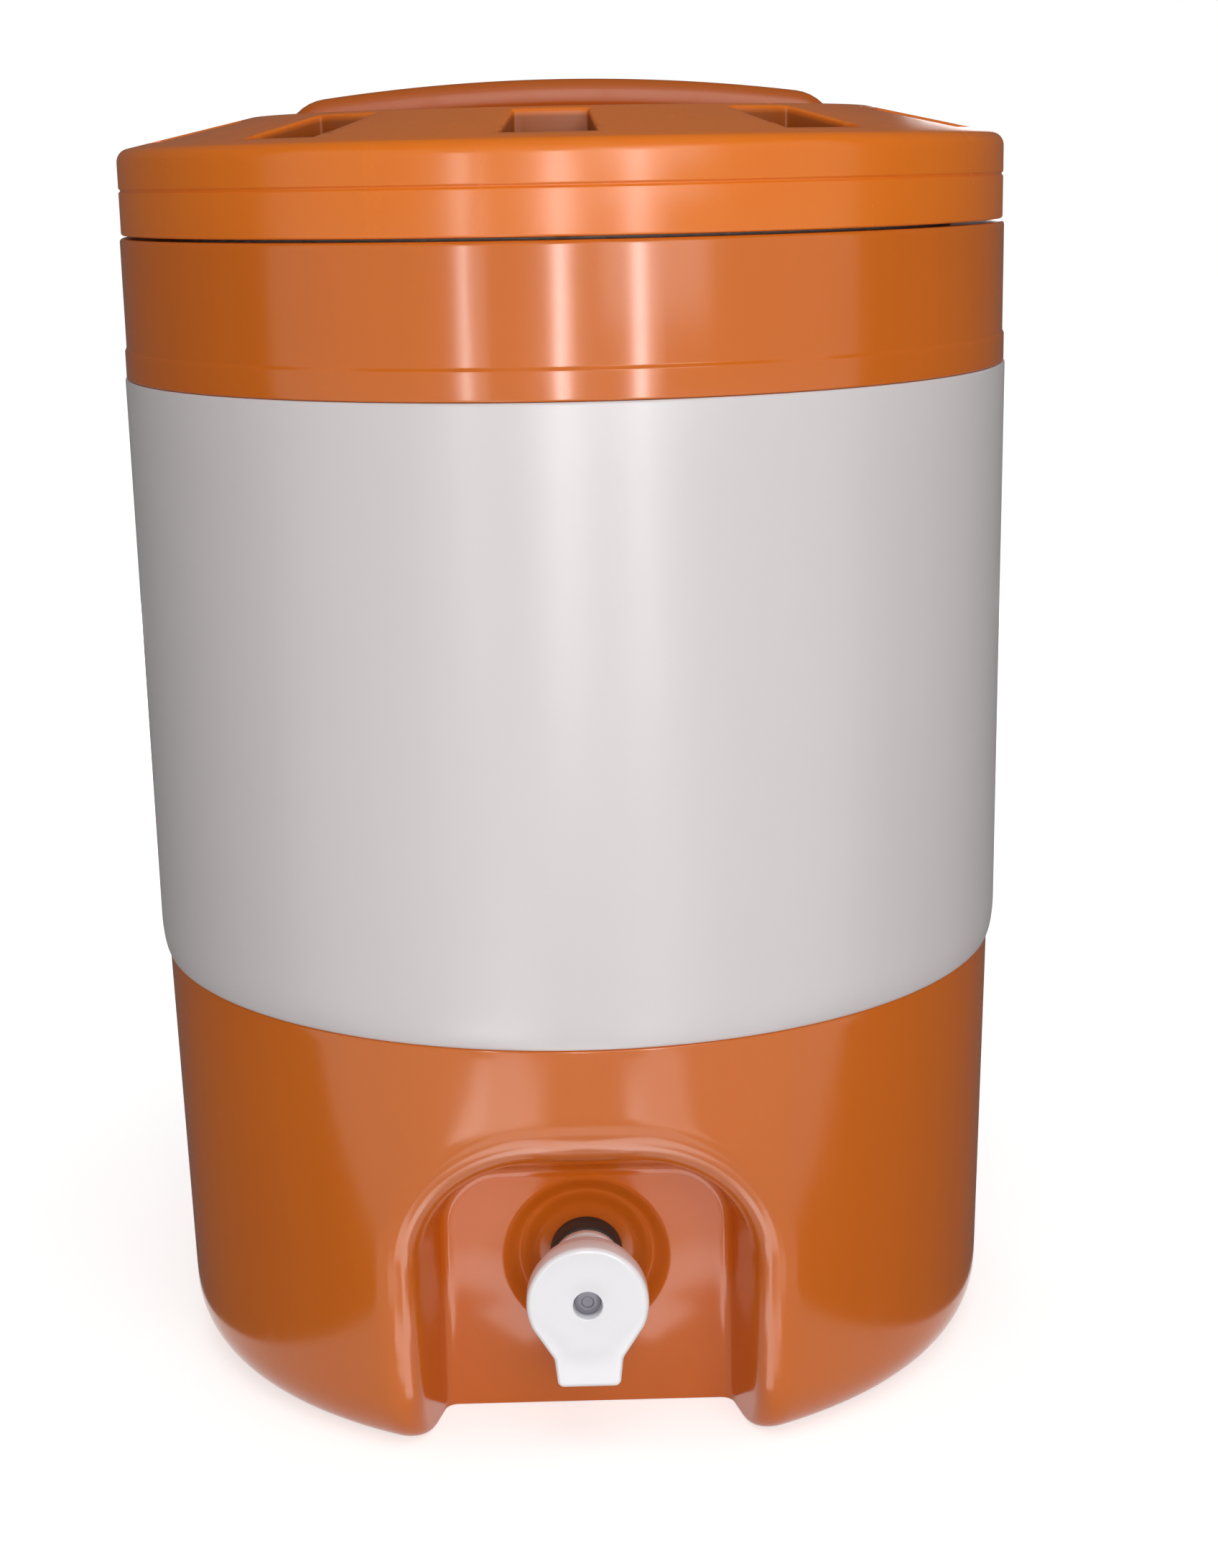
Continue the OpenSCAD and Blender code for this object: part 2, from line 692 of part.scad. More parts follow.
module lid_insulation() {
    gap = fit_gap;
    low_z = plug_low_z + liner_wall + gap;
    color(foam_cream) difference() {
        rotate_extrude() polygon([
            [0, low_z], [plug_in_r - gap, low_z], [plug_in_r - gap, liner_top_z + gap],
            [lid_in_r - gap, liner_top_z + gap], [lid_in_r - gap, rim_z - lid_edge_r - gap],
            [lid_r - lid_edge_r - gap, rim_z - shell_wall - gap],
            [well_top_r + shell_wall + gap, rim_z - shell_wall - gap],
            [well_top_r + shell_wall + gap, well_z - shell_wall - gap], [0, well_z - shell_wall - gap]]);
        at_lid_screws(liner_top_z) cylinder(r = boss_r + gap, h = lid_side_h);
        at_handle_screws(well_z - shell_wall - screw_head_h - gap)
            cylinder(r = screw_head_r + gap, h = screw_head_h + gap);
    }
}

module lid_liner() {
    groove_r = seal_ring_r - seal_r - run_gap;
    groove_half = seal_r + run_gap;
    color(tank_white) difference() {
        rotate_extrude() polygon([
            [0, plug_low_z], [plug_r - plug_chamfer, plug_low_z], [plug_r, plug_low_z + plug_chamfer],
            [plug_r, seal_z - groove_half], [groove_r, seal_z - groove_half],
            [groove_r, seal_z + groove_half], [plug_r, seal_z + groove_half], [plug_r, liner_z],
            [lid_in_r - fit_gap, liner_z], [lid_in_r - fit_gap, liner_top_z], [plug_in_r, liner_top_z],
            [plug_in_r, plug_low_z + liner_wall], [0, plug_low_z + liner_wall]]);
        at_lid_screws(liner_z - past) cylinder(r = screw_r + hole_gap, h = 2 * past);
    }
}

module lid_screws() {
    color(steel) at_lid_screws(liner_z) pan_screw(screw_r, screw_len, screw_head_r, screw_head_h);
}

module lid_seal() {
    color(rubber_black) translate([0, 0, seal_z])
        rotate_extrude() translate([seal_ring_r, 0]) circle(r = seal_r);
}

// The stem's section with its two flats, made larger by grow
module stem_section(grow = 0) {
    intersection() {
        circle(r = stem_r + grow);
        square([2 * (stem_r + grow), 2 * (stem_flat + grow)], center = true);
    }
}

module tap_lever() {
    join_x = lever_head_r * cos(tab_leave);
    join_y = -lever_head_r * sin(tab_leave);
    color(tap_white) on_tap_axis() difference() {
        union() {
            tap_disc(lever_d, lever_front_d, lever_head_r);
            translate([0, 0, lever_front_d - tab_t]) linear_extrude(tab_t) polygon([
                [-join_x, join_y], [-tab_neck_w / 2, -tab_neck_at], [-tab_tip_w / 2, -lever_len],
                [tab_tip_w / 2, -lever_len], [tab_neck_w / 2, -tab_neck_at], [join_x, join_y]]);
        }
        translate([0, 0, lever_d - past]) linear_extrude(stem_end_d - lever_d + past)
            stem_section(run_gap);
        tap_disc(recess_d, lever_front_d + past, lever_screw_head_r + hole_gap);
        tap_disc(stem_end_d - past, recess_d + past, lever_screw_r + run_gap);
    }
}

module lever_screw() {
    color(screw_grey) on_tap_axis() translate([0, 0, recess_d]) mirror([0, 0, 1])
        pan_screw(lever_screw_r, lever_screw_len, lever_screw_head_r, screw_head_h);
}

module tap_plug() {
    color(tap_white) on_tap_axis() difference() {
        union() {
            tap_disc(valve_rear_d, valve_front_d, valve_r);
            tap_disc(valve_front_d, lever_d, stem_r);
            translate([0, 0, lever_d]) linear_extrude(stem_end_d - lever_d) stem_section();
        }
        tap_disc(valve_rear_d - past, spout_d + port_r, valve_bore_r);
        translate([0, 0, spout_d]) rotate([0, -90, 0]) cylinder(r = port_r, h = valve_r + past);
        tap_disc(recess_d - lever_screw_len - web_t, stem_end_d + past, lever_screw_r);
        for (away = [-oring_away, oring_away])
            translate([0, 0, spout_d + away - oring_groove_w / 2]) difference() {
                cylinder(r = valve_r + past, h = oring_groove_w);
                cylinder(r = oring_ring_r - oring_r, h = oring_groove_w);
            }
    }
}

module plug_seals() {
    color(rubber_black) on_tap_axis() for (away = [-oring_away, oring_away])
        translate([0, 0, spout_d + away])
            rotate_extrude() translate([oring_ring_r, 0]) circle(r = oring_r);
}

base_shell();
base_plate();
base_screws();
body_band();
collar();
inner_tank();
wall_insulation();
tap_body();
tap_grommet();
tap_sleeve();
tap_back_washer();
tap_nut();
tap_retaining_ring();
lid_shell();
lid_handle();
handle_screws();
lid_insulation();
lid_liner();
lid_screws();
lid_seal();
tap_lever();
lever_screw();
tap_plug();
plug_seals();
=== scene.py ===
"""Looks of an insulated drinks jug with a lift-off lid and a quarter-turn tap, built round its CAD frame.

The jug's axis is Z, it stands on z = 0 and the tap faces -Y. Sizes in this file are in millimetres.
"""

import logging
import math
from dataclasses import dataclass
from enum import Enum
from typing import Any, Callable, Mapping, Optional, Sequence, Union

import bmesh
import bpy
import numpy as np
from mathutils import Matrix, Vector


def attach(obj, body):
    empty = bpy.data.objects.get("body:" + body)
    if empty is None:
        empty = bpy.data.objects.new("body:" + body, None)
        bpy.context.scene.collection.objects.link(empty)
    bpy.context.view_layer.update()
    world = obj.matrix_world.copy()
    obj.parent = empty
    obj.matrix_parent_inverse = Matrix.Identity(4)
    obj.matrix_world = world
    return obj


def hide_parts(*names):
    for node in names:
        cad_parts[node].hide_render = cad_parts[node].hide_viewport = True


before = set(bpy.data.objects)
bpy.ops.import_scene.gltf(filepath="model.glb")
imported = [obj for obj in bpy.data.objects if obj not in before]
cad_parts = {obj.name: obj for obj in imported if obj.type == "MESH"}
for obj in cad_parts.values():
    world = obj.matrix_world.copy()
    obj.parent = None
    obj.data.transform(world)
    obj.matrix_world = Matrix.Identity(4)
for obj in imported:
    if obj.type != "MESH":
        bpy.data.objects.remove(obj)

LOG = logging.getLogger("drinks_jug")
MM = 0.001
ROUND = 240
# Points that lie closer than a seam are merged, and edges shorter than a sliver go.
SEAM = 0.02
FINE_SEAM = 0.01
SLIVER = 0.005
WHITE = (1.0, 1.0, 1.0, 1.0)

Point = tuple[float, float]
Place = tuple[float, float, float]
Corner = tuple[float, float, float]
Colour = tuple[float, float, float]


class Pick(Enum):
    """What an edit-mode selection takes."""

    POINTS = "VERT"
    EDGES = "EDGE"
    FACES = "FACE"


class Body(Enum):
    """The frame's moving bodies."""

    JUG = "jug"
    LID = "lid"
    VALVE = "tap_valve"


def rounded(corners: Sequence[Corner], steps: int = 5) -> list[Point]:
    """Rounds the corners of an open outline.

    Args:
        corners: Points with the radius of the rounding at each.
        steps: Number of pieces in each rounding.

    Returns:
        The outline's points.
    """
    made: list[Point] = []
    last = len(corners) - 1
    for i, (x, y, radius) in enumerate(corners):
        if radius <= 0 or i in (0, last):
            made.append((x, y))
            continue
        here = np.array([x, y])
        back = here - np.array(corners[i - 1][:2])
        ahead = np.array(corners[i + 1][:2]) - here
        back, ahead = back / np.linalg.norm(back), ahead / np.linalg.norm(ahead)
        turn = math.atan2(back[0] * ahead[1] - back[1] * ahead[0], float(back @ ahead))
        start = here - back * radius * math.tan(abs(turn) / 2)
        side = math.copysign(1, turn)
        centre = start + side * radius * np.array([-back[1], back[0]])
        arm = start - centre
        for k in range(steps + 1):
            a = turn * k / steps
            made.append((float(centre[0] + arm[0] * math.cos(a) - arm[1] * math.sin(a)),
                         float(centre[1] + arm[0] * math.sin(a) + arm[1] * math.cos(a))))
    return made


def eased(t: np.ndarray) -> np.ndarray:
    """Goes smoothly from 0 to 1 as t does."""
    t = np.clip(t, 0, 1)
    return t * t * (3 - 2 * t)


def join_into(obj: bpy.types.Object, *others: bpy.types.Object) -> None:
    """Takes the meshes of other objects into one.

    Args:
        obj: The object that stays.
        others: The objects that it takes in.
    """
    bpy.ops.object.select_all(action="DESELECT")
    for each in (*others, obj):
        each.select_set(True)
    bpy.context.view_layer.objects.active = obj
    bpy.ops.object.join()


class Shape:
    """One mesh piece while Blender's modelling operators shape it."""

    def __init__(self, name: str, primitive: Callable[..., Any], **settings: Any) -> None:
        """Adds a primitive at its size and place, and opens it for editing.

        Args:
            name: The piece's name.
            primitive: The operator that adds the primitive.
            settings: The operator's settings, in metres.
        """
        if bpy.context.object and bpy.context.object.mode == "EDIT":
            bpy.ops.object.mode_set(mode="OBJECT")
        bpy.ops.object.select_all(action="DESELECT")
        primitive(**settings)
        self.obj = bpy.context.active_object
        self.obj.name = self.obj.data.name = name
        self.ring: Point = (0.0, 0.0)
        bpy.ops.object.transform_apply(location=True, rotation=True, scale=True)
        bpy.ops.object.mode_set(mode="EDIT")

    @classmethod
    def turned(cls, name: str, outline: Sequence[Point], segments: int = ROUND) -> "Shape":
        """Draws a round piece ring by ring, as on a lathe.

        Args:
            name: The piece's name.
            outline: Radius and height of each ring.
            segments: Number of points in a ring.

        Returns:
            The piece, open for editing, with its last ring selected.
        """
        (radius, height), *others = outline
        shape = cls(name, bpy.ops.mesh.primitive_circle_add, vertices=segments, radius=radius * MM,
                    location=(0, 0, height * MM))
        shape.ring = (radius, height)
        for radius, height in others:
            shape.ring_to(radius, height)
        return shape

    @classmethod
    def sheet(cls, name: str, places: np.ndarray) -> "Shape":
        """Draws the crossings of a grid to their places.

        Args:
            name: The piece's name.
            places: The crossings, as rows by columns by three.

        Returns:
            The piece, open for editing.
        """
        rows, columns = places.shape[:2]
        shape = cls(name, bpy.ops.mesh.primitive_grid_add, x_subdivisions=columns - 1,
                    y_subdivisions=rows - 1, size=2)
        bpy.ops.object.mode_set(mode="OBJECT")
        mesh = shape.obj.data
        flat = np.empty(len(mesh.vertices) * 3)
        mesh.vertices.foreach_get("co", flat)
        share = (flat.reshape(-1, 3)[:, :2] + 1) / 2
        column = np.rint(share[:, 0] * (columns - 1)).astype(int)
        row = np.rint(share[:, 1] * (rows - 1)).astype(int)
        mesh.vertices.foreach_set("co", (places[row, column] * MM).ravel())
        mesh.update()
        bpy.ops.object.mode_set(mode="EDIT")
        return shape

    def ring_to(self, radius: float, height: float) -> None:
        """Extrudes the selected ring.

        Args:
            radius: The new ring's radius.
            height: The new ring's height.
        """
        rise = (height - self.ring[1]) * MM
        bpy.ops.mesh.extrude_edges_move(TRANSFORM_OT_translate={"value": (0, 0, rise)})
        grow = radius / self.ring[0]
        bpy.ops.transform.resize(value=(grow, grow, 1), center_override=(0, 0, 0))
        self.ring = (radius, height)

    def extrude(self, rise: float) -> None:
        """Extrudes the selected faces upwards."""
        bpy.ops.mesh.extrude_region_move(TRANSFORM_OT_translate={"value": (0, 0, rise * MM)})

    def pick(self, kind: Pick, test: Callable[[Vector, Any], bool]) -> None:
        """Selects what passes a test, and nothing else.

        Args:
            kind: What to select.
            test: Takes an element's middle in millimetres and the element.
        """
        bpy.ops.mesh.select_mode(type=kind.value)
        bpy.ops.mesh.select_all(action="DESELECT")
        work = bmesh.from_edit_mesh(self.obj.data)
        work.normal_update()
        elements = {Pick.POINTS: work.verts, Pick.EDGES: work.edges, Pick.FACES: work.faces}[kind]
        for element in elements:
            corners = [element] if kind is Pick.POINTS else element.verts
            middle = sum((v.co for v in corners), Vector()) / len(corners)
            if test(middle / MM, element):
                element.select_set(True)
        work.select_flush_mode()
        bmesh.update_edit_mesh(self.obj.data)

    def pick_creases(self, least: float, test: Callable[[Vector, Vector], bool]) -> None:
        """Selects edges between faces that meet at an angle.

        Args:
            least: The least angle, in degrees.
            test: Takes an edge's middle in millimetres and its direction.
        """
        def creased(place: Vector, edge: bmesh.types.BMEdge) -> bool:
            """Tells whether an edge is sharp enough and passes the test."""
            along = (edge.verts[1].co - edge.verts[0].co).normalized()
            sharp = len(edge.link_faces) == 2 and edge.calc_face_angle() > math.radians(least)
            return sharp and test(place, along)

        self.pick(Pick.EDGES, creased)

    def bevel(self, width: float, segments: int) -> None:
        """Rounds the selected edges."""
        bpy.ops.mesh.bevel(offset=width * MM, offset_type="OFFSET", segments=segments, profile=0.5,
                           affect="EDGES", clamp_overlap=True)

    def merge(self, gap: float) -> None:
        """Merges points that lie closer together than a gap."""
        bpy.ops.mesh.select_all(action="SELECT")
        bpy.ops.mesh.remove_doubles(threshold=gap * MM)

    def face_out(self) -> None:
        """Turns all faces outwards."""
        bpy.ops.mesh.select_all(action="SELECT")
        bpy.ops.mesh.normals_make_consistent(inside=False)

    def join(self, *others: "Shape") -> None:
        """Takes the meshes of other pieces into this one.

        Args:
            others: The pieces that it takes in.
        """
        bpy.ops.object.mode_set(mode="OBJECT")
        join_into(self.obj, *(other.obj for other in others))
        bpy.ops.object.mode_set(mode="EDIT")

    def finished(self, crease: float = 35.0) -> bpy.types.Object:
        """Merges doubles, turns faces outwards and smooths the piece.

        Args:
            crease: Edges at a larger angle than this, in degrees, stay sharp.

        Returns:
            The finished object.
        """
        bpy.ops.mesh.select_mode(type="VERT")
        self.merge(SEAM)
        bpy.ops.mesh.dissolve_degenerate(threshold=SLIVER * MM)
        self.face_out()
        bpy.ops.object.mode_set(mode="OBJECT")
        bpy.ops.object.select_all(action="DESELECT")
        self.obj.select_set(True)
        bpy.context.view_layer.objects.active = self.obj
        bpy.ops.object.shade_smooth_by_angle(angle=math.radians(crease))
        return self.obj


class Signal:
    """A shader node's output, on which Python arithmetic adds Math nodes."""

    def __init__(self, bench: "NodeBench", socket: bpy.types.NodeSocket) -> None:
        """Wraps a socket of a bench's tree."""
        self.bench, self.socket = bench, socket

    def _math(self, operation: str, first: "Value", second: "Value") -> "Signal":
        """Adds one Math node."""
        return self.bench.add("ShaderNodeMath", {"operation": operation}, {0: first, 1: second})

    def __add__(self, other: "Value") -> "Signal":
        """Adds a value."""
        return self._math("ADD", self, other)

    def __radd__(self, other: "Value") -> "Signal":
        """Is added to a value."""
        return self._math("ADD", other, self)

    def __sub__(self, other: "Value") -> "Signal":
        """Takes a value away."""
        return self._math("SUBTRACT", self, other)

    def __rsub__(self, other: "Value") -> "Signal":
        """Is taken away from a value."""
        return self._math("SUBTRACT", other, self)

    def __mul__(self, other: "Value") -> "Signal":
        """Multiplies by a value."""
        return self._math("MULTIPLY", self, other)

    def __rmul__(self, other: "Value") -> "Signal":
        """Multiplies a value."""
        return self._math("MULTIPLY", other, self)


Value = Union[Signal, float, int, Sequence[float]]


class NodeBench:
    """The node tree of a material or of the world."""

    def __init__(self, tree: bpy.types.NodeTree) -> None:
        """Starts with an empty tree."""
        self.tree = tree
        tree.nodes.clear()

    def add(self, kind: str, settings: Optional[Mapping[str, Any]] = None,
            inputs: Optional[Mapping[Union[int, str], Value]] = None,
            out: Union[int, str] = 0) -> Optional[Signal]:
        """Adds a node.

        Args:
            kind: The node's type.
            settings: Its settings; stops are a ramp's places and colours.
            inputs: Values or links of its sockets.
            out: The output to give back.

        Returns:
            The chosen output, if the node has any.
        """
        node = self.tree.nodes.new(kind)
        for name, value in (settings or {}).items():
            if name == "stops":
                ramp = node.color_ramp.elements
                while len(ramp) < len(value):
                    ramp.new(1.0)
                for element, (place, colour) in zip(ramp, value):
                    element.position, element.color = place, (*colour, 1.0)
            else:
                setattr(node, name, value)
        for key, value in (inputs or {}).items():
            if isinstance(value, Signal):
                self.tree.links.new(value.socket, node.inputs[key])
            else:
                node.inputs[key].default_value = value
        return Signal(self, node.outputs[out]) if len(node.outputs) else None

    def end(self, kind: str, surface: Signal) -> None:
        """Ends the tree in an output node."""
        self.add(kind, None, {"Surface": surface})

    def place(self) -> Signal:
        """Gives the place on the piece, in its own coordinates."""
        return self.add("ShaderNodeTexCoord", out="Object")

    def length(self, vector: Signal) -> Signal:
        """Gives a vector's length."""
        return self.add("ShaderNodeVectorMath", {"operation": "LENGTH"}, {0: vector}, "Value")

    def seen(self) -> Signal:
        """Sorts rays by what they are for.

        Returns:
            1 for rays that show the background to the camera, 0 for rays that light the jug.
        """
        shown = ("Is Camera Ray", "Is Glossy Ray", "Is Transmission Ray")
        straight, mirrored, through = [self.add("ShaderNodeLightPath", out=ray) for ray in shown]
        return straight + mirrored + through

    def mixed(self, share: Value, first: Union[Signal, Colour], second: Union[Signal, Colour]) -> Signal:
        """Mixes two colours.

        Args:
            share: How much of the second colour there is.
            first: The first colour.
            second: The second colour.

        Returns:
            The mixed colour.
        """
        ends = [c if isinstance(c, Signal) else (*c, 1.0) for c in (first, second)]
        return self.add("ShaderNodeMix", {"data_type": "RGBA"}, {0: share, 6: ends[0], 7: ends[1]}, 2)

    def noise(self, scale: float, detail: float = 2.0, stretch: Place = (1.0, 1.0, 1.0)) -> Signal:
        """Adds noise on the piece's own coordinates.

        Args:
            scale: Number of lumps in a metre.
            detail: How many finer layers there are.
            stretch: Scale along each axis.

        Returns:
            The noise, from 0 to 1.
        """
        place = self.add("ShaderNodeMapping", None, {"Vector": self.place(), "Scale": stretch})
        return self.add("ShaderNodeTexNoise", None, {"Vector": place, "Scale": scale, "Detail": detail})

    def ramp(self, value: Signal, *stops: Point) -> Signal:
        """Bends a value through a ramp of places and greys."""
        greys = [(place, (grey, grey, grey)) for place, grey in stops]
        return self.add("ShaderNodeValToRGB", {"stops": greys}, {"Fac": value})

    def bump(self, strength: float, distance: float, height: Signal) -> Signal:
        """Tilts the normal by a height, which stands for a distance in metres."""
        return self.add("ShaderNodeBump", None, {
            "Strength": strength, "Distance": distance, "Height": height})


def blank_material(name: str) -> tuple[bpy.types.Material, NodeBench]:
    """Makes a material without nodes.

    Args:
        name: Its name.

    Returns:
        The material and the bench for its nodes.
    """
    made = bpy.data.materials.new(name)
    made.use_nodes = True
    return made, NodeBench(made.node_tree)


@dataclass(frozen=True)
class Finish:
    """A surface finish, which names one of the record's slots."""

    name: str
    slot: str

    def material(self) -> bpy.types.Material:
        """Gives the finish's material, made on first use.

        Returns:
            The material.
        """
        made = bpy.data.materials.get(self.name)
        if made is None:
            made, bench = blank_material(self.name)
            bench.end("ShaderNodeOutputMaterial", self.surface(bench))
        return made

    def surface(self, bench: NodeBench) -> Signal:
        """Builds the finish's shader on a bench."""
        raise NotImplementedError

    def dress(self, obj: bpy.types.Object) -> None:
        """Gives a piece this finish alone."""
        obj.data.materials.clear()
        obj.data.materials.append(self.material())


@dataclass(frozen=True)
class MouldedPlastic(Finish):
    """Injection-moulded plastic with a slow ripple, flow marks and faint handling scuffs; subclasses may add
    painted shade.
    """

    colour: Colour
    shade: Colour
    roughness: float
    ripple: float = 0.03
    ripple_depth: float = 0.004
    scuffs: float = 0.08
    ior: float = 1.46
    flow_share: float = 0.65
    flow_rough: float = 0.06
    pore_rough: float = 0.04
    pore_height: float = 0.012
    # Painted shade: how much darker and rougher the painted recesses are.
    painted_shade_dim: float = 0.42
    painted_shade_rough: float = 0.25

    def surface(self, bench: NodeBench) -> Signal:
        """Builds the plastic's shader.

        Args:
            bench: Where its nodes go.

        Returns:
            The shader.
        """
        flow = bench.noise(5.0, 3.0)
        streak = bench.noise(24.0, 4.0, (1.0, 1.0, 0.12))
        pores = bench.noise(700.0, 2.0)
        swell = bench.noise(17.0, 1.0)
        marks = bench.ramp(bench.noise(90.0, 5.0, (1.0, 1.0, 0.05)), (0.56, 0.0), (0.72, 1.0))
        share = bench.ramp(flow * self.flow_share + streak * (1 - self.flow_share), (0.32, 0.0), (0.68, 1.0))
        rough = (self.roughness + (flow - 0.5) * self.flow_rough + marks * self.scuffs
                 + (pores - 0.5) * self.pore_rough)
        colour = bench.mixed(share, self.colour, self.shade)
        # Painted shade: where a subclass marks a recess, the colour darkens and the surface roughens.
        painted_shade = self.painted_shade(bench)
        if painted_shade is not None:
            colour = bench.mixed(painted_shade, colour, tuple(c * self.painted_shade_dim for c in self.shade))
            rough = rough + painted_shade * self.painted_shade_rough
        normal = bench.bump(self.ripple, self.ripple_depth, swell + pores * self.pore_height)
        return bench.add("ShaderNodeBsdfPrincipled", None, {
            "Base Color": colour, "Roughness": rough, "IOR": self.ior, "Normal": normal})

    def painted_shade(self, bench: NodeBench) -> Optional[Signal]:
        """Tells where shade is painted; plain plastic has none."""
        return None


@dataclass(frozen=True)
class NotchedPlastic(MouldedPlastic):
    """Moulded plastic with painted shade in the notches of a sloping ring, whose sizes are in metres."""

    ring_in: float = 0.117
    ring_out: float = 0.1555
    rim_r: float = 0.16109
    rim_z: float = 0.46388
    slope: float = 0.2234
    depth_rate: float = 200.0
    border_rate: float = 100.0

    def painted_shade(self, bench: NodeBench) -> Signal:
        """Finds the places between the ring's borders that lie below it.

        Args:
            bench: Where the nodes go.

        Returns:
            The painted shade's share, from 0 to 1.
        """
        # Painted shade: places below the ring's slope, inside the notches, are darkened.
        place = bench.place()
        flat = bench.add("ShaderNodeVectorMath", {"operation": "MULTIPLY"}, {0: place, 1: (1.0, 1.0, 0.0)})
        radius = bench.length(flat)
        height = bench.add("ShaderNodeSeparateXYZ", None, {0: place}, "Z")
        below = (self.rim_z + (self.rim_r - radius) * self.slope - height) * self.depth_rate
        inside, outside = [bench.ramp(away * self.border_rate, (0.0, 0.0), (0.1, 1.0))
                           for away in (radius - self.ring_in, self.ring_out - radius)]
        return bench.ramp(below, (0.06, 0.0), (0.5, 1.0)) * inside * outside


@dataclass(frozen=True)
class Rubber(Finish):
    """Dull black rubber with a fine grain."""

    colour: Colour
    bloom: float = 0.03

    def surface(self, bench: NodeBench) -> Signal:
        """Builds the rubber's shader.

        Args:
            bench: Where its nodes go.

        Returns:
            The shader.
        """
        grain = bench.noise(900.0, 3.0)
        dust = bench.ramp(bench.noise(60.0, 4.0), (0.45, 0.0), (0.75, 1.0))
        dusty = tuple(c + self.bloom for c in self.colour)
        return bench.add("ShaderNodeBsdfPrincipled", None, {
            "Base Color": bench.mixed(dust, self.colour, dusty), "Roughness": 0.55 + grain * 0.2,
            "Normal": bench.bump(0.2, 0.0003, grain)})


@dataclass(frozen=True)
class FoamFill(Finish):
    """Rigid cream foam with open cells where it was cut."""

    colour: Colour
    pore: Colour
    cell_share: float = 0.7

    def surface(self, bench: NodeBench) -> Signal:
        """Builds the foam's shader.

        Args:
            bench: Where its nodes go.

        Returns:
            The shader.
        """
        cells = bench.add("ShaderNodeTexVoronoi", None, {"Vector": bench.place(), "Scale": 900.0}, "Distance")
        patchy = bench.noise(30.0, 4.0)
        share = bench.ramp(cells * self.cell_share + patchy * (1 - self.cell_share), (0.2, 0.0), (0.75, 1.0))
        return bench.add("ShaderNodeBsdfPrincipled", None, {
            "Base Color": bench.mixed(share, self.pore, self.colour), "Roughness": 0.85 + patchy * 0.1,
            "Normal": bench.bump(0.5, 0.0006, cells)})


@dataclass(frozen=True)
class BrushedSteel(Finish):
    """Turned and brushed screw steel."""

    colour: Colour
    stain: float = 0.75

    def surface(self, bench: NodeBench) -> Signal:
        """Builds the steel's shader.

        Args:
            bench: Where its nodes go.

        Returns:
            The shader.
        """
        lines = bench.noise(260.0, 3.0, (1.0, 12.0, 12.0))
        stained = tuple(c * self.stain for c in self.colour)
        return bench.add("ShaderNodeBsdfPrincipled", None, {
            "Base Color": bench.mixed(bench.noise(140.0, 3.0), stained, self.colour), "Metallic": 1.0,
            "Roughness": 0.26 + lines * 0.16, "Normal": bench.bump(0.15, 0.0002, lines)})


@dataclass(frozen=True)
class Finishes:
    """The jug's finishes."""

    shell: Finish = MouldedPlastic("shell_orange", "orange_shell", (0.64, 0.147, 0.010),
                                   (0.59, 0.127, 0.008), 0.15)
    # The lid's grip notches get painted shade.
    lid: Finish = NotchedPlastic("lid_orange", "orange_shell", (0.79, 0.187, 0.010),
                                 (0.74, 0.164, 0.009), 0.22)
    # Painted shade: a darker copy of the shell's orange, standing in for the handle's darker shading.
    handle: Finish = MouldedPlastic("handle_orange_painted_shade", "orange_shell", (0.5, 0.112, 0.008),
                                    (0.46, 0.097, 0.007), 0.3)
    band: Finish = MouldedPlastic("band_white", "white_band", (0.68, 0.635, 0.635),
                                  (0.65, 0.605, 0.61), 0.3)
    tank: Finish = MouldedPlastic("tank_white", "tank_plastic", (0.78, 0.8, 0.8),
                                  (0.74, 0.765, 0.77), 0.38)
    foam: Finish = FoamFill("foam_cream", "foam", (0.8, 0.72, 0.42), (0.62, 0.53, 0.28))
    tap: Finish = MouldedPlastic("tap_white", "tap_white", (0.735, 0.75, 0.92), (0.705, 0.72, 0.9), 0.3)
    rubber: Finish = Rubber("seal_rubber", "rubber", (0.02, 0.019, 0.019))
    steel: Finish = BrushedSteel("screw_steel", "steel", (0.5, 0.5, 0.52))
    screw: Finish = MouldedPlastic("screw_grey", "screw_grey", (0.17, 0.16, 0.2),
                                   (0.145, 0.135, 0.17), 0.42)


FINISHES = Finishes()


def hand_over(obj: bpy.types.Object, body: Body, finish: Finish, node: str) -> None:
    """Puts a finished piece on its body in place of a node of the frame.

    Args:
        obj: The piece.
        body: The body that it rides on.
        finish: Its finish.
        node: The node that it stands for.
    """
    finish.dress(obj)
    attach(obj, body.value)
    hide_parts(node)
    LOG.info("%s: %d faces, rides on %s", obj.name, len(obj.data.polygons), body.value)


def keep_node(node: str, finish: Finish) -> None:
    """Leaves a node of the frame in place with a finish of its own."""
    finish.dress(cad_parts[node])
    LOG.info("%s: frame node with %s", node, finish.slot)


